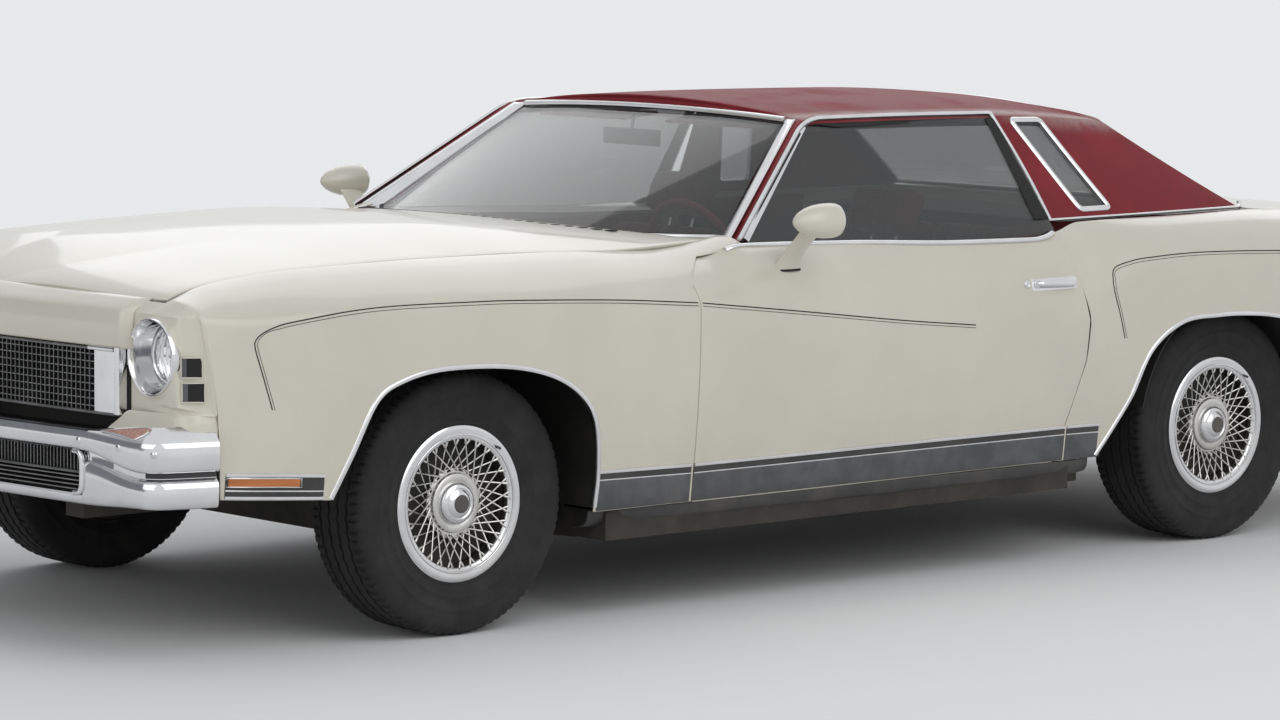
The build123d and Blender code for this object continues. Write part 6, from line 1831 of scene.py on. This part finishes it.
def makeRearWindow():
    # rear window between the sail panels
    v = np.linspace(0, 1, 24)[:, None]
    w = np.linspace(-1, 1, 41)
    topX, lowX, lowZ = -1046.0, -1530.0, 988.0
    x = topX + (lowX - topX) * v - 18 * (1 - w**2) * (0.4 + 0.6 * v)
    edge = roofPoint(np.full(60, topX - 4), np.linspace(0.99, 2, 60))[::-1]
    z = lowZ + (np.interp(505 * np.abs(w), edge[:, 1], edge[:, 2]) - 11 - lowZ) * (1 - v)
    half = 505 + (690 - 505) * v
    pane = np.stack([x, half * w, z], -1)
    makePiece("rearWindow", gridSheet(pane, thickness=5, radius=1, hint=(-1, 0, 1)), clearGlass,
              replaced="rear_windows")
    rim = np.concatenate([pane[0], pane[1:, -1], pane[-1, -2::-1], pane[-2:0:-1, 0]])
    makePiece("rearWindowRim", carried(broadBead, rim + (-2, 0, 2), (-0.52, 0, 0.85), closed=True), chrome)
    # vinyl returns from the sail panels' rear edges in to the rear window
    rearP = np.linspace(0, 1, 24)
    zEdge = 1262 + (986 - 1262) * rearP
    xEdge = backX(zEdge)
    outer = roofPoint(xEdge, pOfZ(xEdge, zEdge)) + (2, -2, -2)
    inner = pane[:, -1] + (4, -2, 4)
    t = np.linspace(0, 1, 8)[:, None, None]
    grid = outer + (inner - outer) * t
    grid[..., 0] -= 10 * np.sin(np.pi * np.linspace(0, 1, 8))[:, None] * np.clip(rearP * 4, 0, 1)
    side = gridSheet(grid, thickness=8, radius=2, hint=(-1, 0, 1))
    makePiece("sailReturn", bothSides(side), vinyl)
    headerP = np.linspace(0.99, 2, 24)
    rear = np.full(24, -1050.0)
    for _ in range(8):
        rear = backX(roofPoint(rear, headerP)[:, 2])
    outer = roofPoint(rear, headerP) + (3, 0, -2)
    target = np.stack([np.interp(outer[:, 1] * 505 / outer[0, 1], pane[0, :, 1],
                                 pane[0, :, k]) for k in range(3)], -1) + (3, 0, 4)
    grid = outer + (target - outer) * t
    makePiece("rearHeader", bothSides(gridSheet(grid, thickness=8, radius=2, hint=(-1, 0, 1))), vinyl)
    # vinyl turned down over the roof's front edge to the windscreen moulding
    front = np.full(24, 170.0)
    for _ in range(8):
        front = 184 - 34 * (roofPoint(front, headerP)[:, 1] / 560) ** 2
    outer = roofPoint(front, headerP) - (6, 0, 2)
    target = np.stack([np.interp(outer[:, 1] * 566 / outer[0, 1], screenHigh[30::-1, 1],
                                 screenHigh[30::-1, 0]),
                       outer[:, 1] * 562 / outer[0, 1],
                       1292 + 18 * (1 - (outer[:, 1] / outer[0, 1]) ** 2)], -1)
    grid = outer + (target - outer) * t
    grid[..., 0] += 7 * np.sin(np.pi * np.linspace(0, 1, 8))[:, None]
    makePiece("frontHeader", bothSides(gridSheet(grid, thickness=8, radius=2, hint=(1, 0, 1))), vinyl)
    print("rear window and vinyl edges made")


makeGlasshouse()
makeDoorGlass()
makeOperaWindows()
makeRearWindow()


# Every CAD node that stays in view takes a material of its own

cadFinishes = {
    "floor_pan": chassisBlack, "inner_fenders": chassisBlack, "radiator": chassisBlack, "frame": chassisBlack,
    "engine": ironGrey,
    "driveline": ironGrey, "rear_axle": chassisBlack, "front_arms": chassisBlack, "knuckle_left": ironGrey,
    "knuckle_right": ironGrey,
    "exhaust": pipeSteel, "fuel_tank": pipeSteel, "cowl": paint, "tail_panels": paint, "tail_lamps": redLens,
    "rear_bumper": chrome,
    "dashboard": dashVinyl, "steering_wheel": dashVinyl, "front_seats": seatCloth, "rear_seat": seatCloth,
}


def dressCad():
    for name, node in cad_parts.items():
        if name in cadFinishes:
            node.data.materials.clear()
            node.data.materials.append(cadFinishes[name])


dressCad()


# Tail: bumper, lamps and the number plate's blank recess

rearPlan = [(-2440, 972), (-2500, 963), (-2560, 952), (-2596, 941), (-2620, 918), (-2638, 868), (-2651, 700),
            (-2661, 420), (-2669, 180), (-2671.5, 0)]
rearProfile = [(-36, 590), (-30, 593), (-6, 593), (-1, 590), (0, 584), (0, 562), (-2, 557), (-8, 553),
               (-22, 551), (-26, 547), (-24, 541), (-17, 538),
               (-14, 532), (-13, 500), (-14, 456), (-17, 440), (-23, 432), (-30, 430), (-36, 434)]


def makeTail():
    makePiece("rearBumper", bothSides(sweptBumper(rearProfile, rearPlan)), chrome, replaced="rear_bumper")
    bolts = [turned([(-6, 9.5), (2.2, 9.2), (4.2, 7), (5.4, 3.5), (5.8, 0.01), (-6, 0.01)], (x, y, 574),
                    (-1, 0.05, 0), 24)
             for x, y in ((-2659, 430), (-2650, 640), (-2638, 800))]
    makePiece("rearBolts", bothSides(joined(*bolts)), brightTrim)
    lens = [softBox(-2577, -2542, 789, 881, z, z + 62, 5) for z in (603, 669, 735)]
    makePiece("tailLens", bothSides(joined(*lens)), redLens, replaced="tail_lamps")
    frameBars = [softBox(-2580, -2556, 783, 887, z, z + 5, 2) for z in (598, 664.5, 730.5, 797)]
    frameBars += [softBox(-2580, -2556, y, y + 6, 598, 802, 2, longAxis=2) for y in (783, 881)]
    makePiece("tailRim", bothSides(joined(*frameBars)), chrome)
    # plate recess in the tail panel, left blank
    panel = joined(softBox(-2563, -2559, -170, 170, 640, 646, 1.5),
                   softBox(-2563, -2559, -170, 170, 760, 766, 1.5),
                   softBox(-2563, -2559, -170, -164, 640, 766, 1.5, longAxis=2),
                   softBox(-2563, -2559, 164, 170, 640, 766, 1.5, longAxis=2))
    makePiece("plateRecess", panel, brightTrim)
    makePiece("tailStrip", joined(softBox(-2566, -2559, -738, 738, 826, 834, 3),
                                  softBox(-2566, -2559, -738, 738, 606, 612, 3)), chrome)
    makePiece("tailSeal", box(-2548, -2544, -745, 745, 806, 848), blackGap)
    print("tail made")


makeTail()


# Cabin: padded seats, dashboard, wheel, door trim, carpet and rear shelf

def padMesh(frameAxes, centre, size, crown=0.35, channels=(), tuck=0.05, seam=True):
    # crowned closed pad: size is half length, half width and thickness along the frame's three axes
    a, b, up = (unit(np.array(v, float)) for v in frameAxes)
    half, wide, thick = size
    n, m = 49, 57
    u, v = np.linspace(-1, 1, n)[:, None], np.linspace(-1, 1, m)[None]

    def soft(t):
        return np.sign(t) * np.abs(t) ** 0.92

    corner = np.clip(np.abs(u) ** 6 + np.abs(v) ** 6, 0, 2)
    pull = 1 - 0.055 * corner * np.minimum(np.abs(u * v) ** 3, 1)
    x = half * soft(u) * pull * (1 - tuck * (1 - v**2) * np.abs(u) ** 8)
    y = wide * soft(v) * pull * (1 - tuck * (1 - u**2) * np.abs(v) ** 8)
    edge = (1 - np.abs(u) ** 7) ** 0.5 * (1 - np.abs(v) ** 7) ** 0.5
    top = thick * (0.52 + 0.48 * edge) * 0.8 + thick * crown * (1 - u**2) * (1 - v**2) * 0.55
    for place, lengthwise in channels:
        t = v if lengthwise else u
        top = top - thick * 0.13 * np.exp(-(((t - place) * (wide if lengthwise else half) / 7.0) ** 2)) * edge
    if seam:
        rim = np.maximum(np.abs(u) * half / (half - 26), np.abs(v) * wide / (wide - 26))
        top = top - 5.0 * np.exp(-(((rim - 1) * 60) ** 2))
    low = -thick * 0.2 + 0 * u * v
    centre = np.array(centre, float)

    def place3(x, y, z):
        return centre + x[..., None] * a + y[..., None] * b + z[..., None] * up

    outer, inner = place3(x, y, top), place3(x * 0.97, y * 0.97, low)
    ring = borderIndex(n, m)
    count = n * m
    middle = (outer.reshape(-1, 3)[ring] + inner.reshape(-1, 3)[ring]) / 2
    away = unit(middle - centre - ((middle - centre) @ up)[:, None] * up)
    middle = middle + away * thick * 0.10
    points = np.concatenate([outer.reshape(-1, 3), inner.reshape(-1, 3), middle])
    faces = [gridFaces(n, m), gridFaces(n, m)[:, ::-1] + count]
    for p, q in ((ring, 2 * count + np.arange(len(ring))), (2 * count + np.arange(len(ring)), ring + count)):
        faces.append(np.stack([np.roll(p, -1), p, q, np.roll(q, -1)], -1))
    faces = np.concatenate(faces)
    if np.dot(np.cross(a, b), up) < 0:
        faces = faces[:, ::-1]
    return points, faces


def padPiece(name, shape, material, body="root", replaced=""):
    piece = makePiece(name, shape, material, body, replaced=replaced, smoothAngle=60)
    return piece


seatChannels = [(-0.55, True), (-0.28, True), (0.0, True), (0.28, True), (0.55, True)]
rearChannels = [(-0.66, True), (-0.33, True), (0.0, True), (0.33, True), (0.66, True)]


def makeSeats():
    backUp = unit(np.array([-240.0, 0, 470.0]))
    backOut = unit(np.array([470.0, 0, 240.0]))
    for side, sign in (("left", 1), ("right", -1)):
        y = 440 * sign
        cushion = padMesh(((1, 0, -0.06), (0, 1, 0), (0.06, 0, 1)), (122, y, 440), (218, 250, 92), 0.5,
                          seatChannels)
        padPiece(f"seatCushion.{side}", cushion, seatCloth, replaced="front_seats" if side == "left" else "")
        centre = np.array([-208.0, y, 700]) - backOut * 30
        back = padMesh((backUp, (0, 1, 0), backOut), centre, (246, 248, 88), 0.45, seatChannels)
        padPiece(f"seatBack.{side}", back, seatCloth)
        behind = centre - backOut * 34 + backOut * 20
        shell = padMesh((backUp, (0, 1, 0), -backOut), behind, (250, 252, 44), 0.2, (), 0.03, False)
        padPiece(f"seatBackShell.{side}", shell, trimVinyl)
        base = padMesh(((1, 0, 0), (0, 1, 0), (0, 0, 1)), (40, y, 352), (280, 252, 96), 0.1, (), 0.02, False)
        padPiece(f"seatBase.{side}", base, trimVinyl)
        head = padMesh((backUp, (0, 1, 0), backOut), (-374, y, 1000), (66, 128, 66), 0.5, ((0.0, True),),
                       0.05)
        padPiece(f"headrest.{side}", head, seatCloth)
        stalks = [tube([(-348, y + k, 900), (-376, y + k, 975)], 6, 12) for k in (-50, 50)]
        makePiece(f"headrestStalks.{side}", joined(*stalks), chrome)
        tracks = [softBox(-200, 260, y + k - 14, y + k + 14, 311, 324, 4, longAxis=0) for k in (-170, 170)]
        makePiece(f"seatTracks.{side}", joined(*tracks), chassisBlack)
    rearUp = unit(np.array([-120.0, 0, 340.0]))
    rearOut = unit(np.array([340.0, 0, 120.0]))
    for side, sign in (("left", 1), ("right", -1)):
        y = 297 * sign
        cushion = padMesh(((1, 0, 0.06), (0, 1, 0), (-0.06, 0, 1)), (-738, y, 512), (178, 290, 96), 0.45,
                          rearChannels)
        padPiece(f"rearCushion.{side}", cushion, seatCloth, replaced="rear_seat" if side == "left" else "")
        back = padMesh((rearUp, (0, 1, 0), rearOut), (-985, y, 742), (186, 290, 84), 0.45, rearChannels)
        padPiece(f"rearBack.{side}", back, seatCloth)
    makePiece("rearBench", joined(softBox(-950, -565, -585, 585, 471, 512, 12),
                                  softBox(-1084, -1046, -585, 585, 600, 914, 14)), trimVinyl)
    print("seats made")


makeSeats()

dashPad = [(755, 905), (700, 917), (600, 924), (545, 921), (505, 912), (486, 898), (478, 880), (484, 868),
           (496, 862), (500, 838), (506, 800), (516, 730), (528, 700), (560, 676), (640, 661), (755, 661)]


def makeDashboard():
    y = np.linspace(-738, 738, 61)
    profile = np.array(dashPad, float)
    loop = along(np.concatenate([profile, profile[:1]]), 97)[:-1]
    # pad rises a little over the dials
    hood = np.exp(-(((y - 380) / 190) ** 6))[:, None] * 8
    section = np.broadcast_to(loop, (61, 96, 2)).copy()
    section[..., 1] += hood * (loop[:, 1] > 860)
    section[..., 0] -= hood * 0.6 * (loop[:, 0] < 520) * (loop[:, 1] > 860)
    points = np.stack([section[..., 0], np.broadcast_to(y[:, None], section.shape[:2]), section[..., 1]], -1)
    ends = [list(range(96)), list(range(60 * 96, 61 * 96))[::-1]]
    faces = gridFaces(61, 96, closedColumns=True).tolist() + ends
    makePiece("dashPad", (points.reshape(-1, 3), faces), dashVinyl, replaced="dashboard")
    facing = unit(np.array([-0.99, 0, 0.12]))
    dials, rims = [], []
    for dy, dz, r in ((290, 800, 50), (410, 800, 50), (500, 800, 30), (215, 806, 26)):
        centre = np.array([504.0, dy, dz])
        dials.append(turned([(0, 0.01), (0, r), (3, r), (3, 0.01)], centre, facing, 40))
        rims.append(turned([(0, r), (6, r), (8, r + 3), (6, r + 6), (0, r + 6)], centre, facing, 40))
        a = 0.6 + dy * 0.01
        tip = centre + facing * 4.5 + np.array([0.12 * math.sin(a), math.cos(a), math.sin(a)]) * r * 0.8
        rims.append(tube([centre + facing * 4.5, tip], 1.4, 6))
    rims.append(softBox(496, 506, -8, 150, 770, 776, 2))
    rims.append(softBox(496, 506, -8, 150, 826, 832, 2))
    for k in range(4):
        rims.append(turned([(0, 0.01), (0, 11), (14, 10), (16, 7), (16, 0.01)], (504, 14 + 38 * k, 750),
                           facing, 20))
    vents = [softBox(494, 507, y0, y0 + 110, z, z + 4, 1.5)
             for y0 in (-700, 590, -110) for z in (846, 838, 830)]
    makePiece("dashDials", joined(*dials, softBox(500, 507, 0, 142, 778, 824, 3)), dialFace)
    makePiece("dashTrim", joined(*rims, *vents, softBox(496, 508, -660, -180, 742, 748, 2)), brightTrim)
    print("dashboard made")


def makeSteeringWheel():
    # rim, two padded spokes, horn pad, column
    hub, normal = np.array([330.0, 380, 880]), unit(np.array([-0.93, 0, 0.37]))
    upward = unit(np.cross((0, 1, 0), normal))
    upward = upward if upward[2] > 0 else -upward
    a = np.linspace(0, 2 * np.pi, 96, endpoint=False)[:, None]
    across = np.array([0, 1.0, 0])
    ring = hub + normal * 12 + (np.cos(a) * across + np.sin(a) * upward) * 185
    spokes = []
    for s in (1, -1):
        path = (hub + normal * np.array([[-2], [0], [6], [11]])
                + across * s * np.array([[20], [80], [140], [182]])
                - upward * np.array([[6], [12], [10], [0]]))
        spokes.append(tube(curved(path, 14), np.linspace(17, 8, 14), 16, squash=0.5))
    wheelMesh = joined(tube(ring, 11, 16, closed=True), *spokes,
                       turned([(-6, 0.01), (-6, 52), (6, 50), (13, 40), (15, 0.01)], hub, normal, 48))
    makePiece("steeringRim", wheelMesh, dashVinyl, replaced="steering_wheel")
    column = turned([(-150, 0.01), (-150, 34), (-50, 30), (-14, 26), (-6, 24), (-6, 0.01)], hub, normal, 32)
    lever = tube([hub - normal * 40 + (0, 20, 0), hub - normal * 34 + (0, 130, 14)], 4, 10)
    makePiece("steeringColumn", joined(column, lever), dashVinyl)
    print("steering wheel made")


def makeCabinTrim():
    # carpet over floor and tunnel
    yRow = np.array([-738, -400, -158, -150, -128, -113, -108, 0, 108, 113, 128, 150, 158, 400, 738], float)
    zRow = np.array([313, 313, 313, 318, 400, 468, 474, 476, 474, 468, 400, 318, 313, 313, 313], float)
    x = np.linspace(-548, 980, 30)
    grid = np.stack(np.broadcast_arrays(x[:, None], yRow[None], zRow[None]), -1).astype(float)
    makePiece("carpet", gridSheet(grid, thickness=2.5, radius=0.8), carpet)
    # door trim: panel, arm rest with pull, crank and latch, on the moving door
    panel = np.array([[(px, 757.5 - 2.5 * math.sin(math.pi * f),
                        345 + (922 - 345) * f) for px in np.linspace(700, -560, 40)]
                      for f in np.linspace(0, 1, 20)])
    doorTrim = gridSheet(panel, thickness=3, radius=2, hint=(0, -1, 0))
    rest = padMesh(((1, 0, 0.02), (0, 0, 1), (0, -1, 0)), (-190, 753, 650), (250, 34, 40), 0.3, (), 0.04,
                   False)
    crank = joined(turned([(0, 0.01), (0, 20), (6, 18), (8, 0.01)], (120, 756, 600), (0, -1, 0), 32),
                   tube([(120, 746, 600), (120, 742, 600), (182, 738, 566)], 5, 12),
                   turned([(0, 0.01), (0, 11), (22, 9), (24, 0.01)], (182, 741, 566), (0, -1, 0), 24),
                   tube([(240, 752, 790), (230, 744, 792), (160, 742, 796), (150, 750, 797)], 6, 12))
    trimLine = joined(*(tube([(690, 756, z), (-550, 756, z)], 2.2, 8) for z in (560, 740)))
    makePair("doorTrim", doorTrim, trimVinyl, onDoor)
    makePair("doorCrank", joined(crank, trimLine), chrome, onDoor)
    for side, shape in (("left", rest), ("right", mirrored(rest))):
        padPiece(f"armRest.{side}", shape, trimVinyl, f"door_{side}")
    # quarter trim and the shelf behind the rear seat
    side = np.array([[(px, 726 - 0.18 * (z - 560), z) for px in np.linspace(-668, -1075, 16)]
                     for z in np.linspace(560, 968, 12)])
    makePiece("quarterTrim", bothSides(gridSheet(side, thickness=3, radius=2, hint=(0, -1, 0))), trimVinyl)
    shelf = np.array([[(px, py, 944 + 6 * (1 - (py / 640) ** 2)) for py in np.linspace(-640, 640, 30)]
                      for px in np.linspace(-1068, -1475, 14)])
    makePiece("rearShelf", gridSheet(shelf, thickness=3, radius=2), carpet)
    mirror = joined(softBox(232, 246, -118, 118, 1196, 1244, 6),
                    tube([(240, 0, 1236), (232, 0, 1284)], 5, 10))
    makePiece("rearViewMirror", mirror, darkTrim)
    makePiece("rearViewGlass", softBox(230.5, 232.5, -112, 112, 1201, 1239, 0.9), mirrorGlass)
    visor = [[(px, py, 1262 + (190 - px) * 0.12) for py in np.linspace(90, 470, 12)]
             for px in np.linspace(186, 60, 8)]
    visors = [gridSheet(np.array(visor) * (1, sign, 1), thickness=9, radius=4,
                        hint=(0, 0, -1)) for sign in (1, -1)]
    makePiece("sunVisors", joined(*visors), headliner)
    print("cabin trim made")


makeDashboard()
makeSteeringWheel()
makeCabinTrim()


# Cowl ahead of the screen: slotted panel and the wipers at rest in it

def makeCowl():
    arms, blades = [], []
    for y0, y1 in ((500, 60), (-60, -500)):
        t = np.linspace(0, 1, 18)
        y = y0 + (y1 - y0) * t
        x = np.interp(np.abs(y), np.abs(screenBase[30::-1, 1]), screenBase[30::-1, 0])
        line = np.stack([x + 20, y, np.full(18, 996.0)], -1)
        blades.append(tube(line, 4.0, 8))
        arms.append(tube(line[::3] + (5, 0, 4), 3.2, 8))
        arms.append(turned([(0, 0.01), (0, 13), (12, 10), (14, 0.01)], line[0] + (12, 8, -8), (0.2, 0, 1),
                           20))
    makePiece("wipers", joined(*arms, *blades), darkTrim)
    slots = []
    for k in range(-13, 14):
        y = k * 42.0
        x = float(np.interp(abs(y), hoodRearArc[::-1, 1], hoodRearArc[::-1, 0])) + 26
        z = float(lidPoint(hoodRows, x, abs(y) / 440)[2])
        slots.append(softBox(x, x + 26, y - 13, y + 13, z - 2, z + 0.9, 1, longAxis=1))
    makePiece("hoodSlots", joined(*slots), blackGap, "hood")
    print("cowl made")


makeCowl()
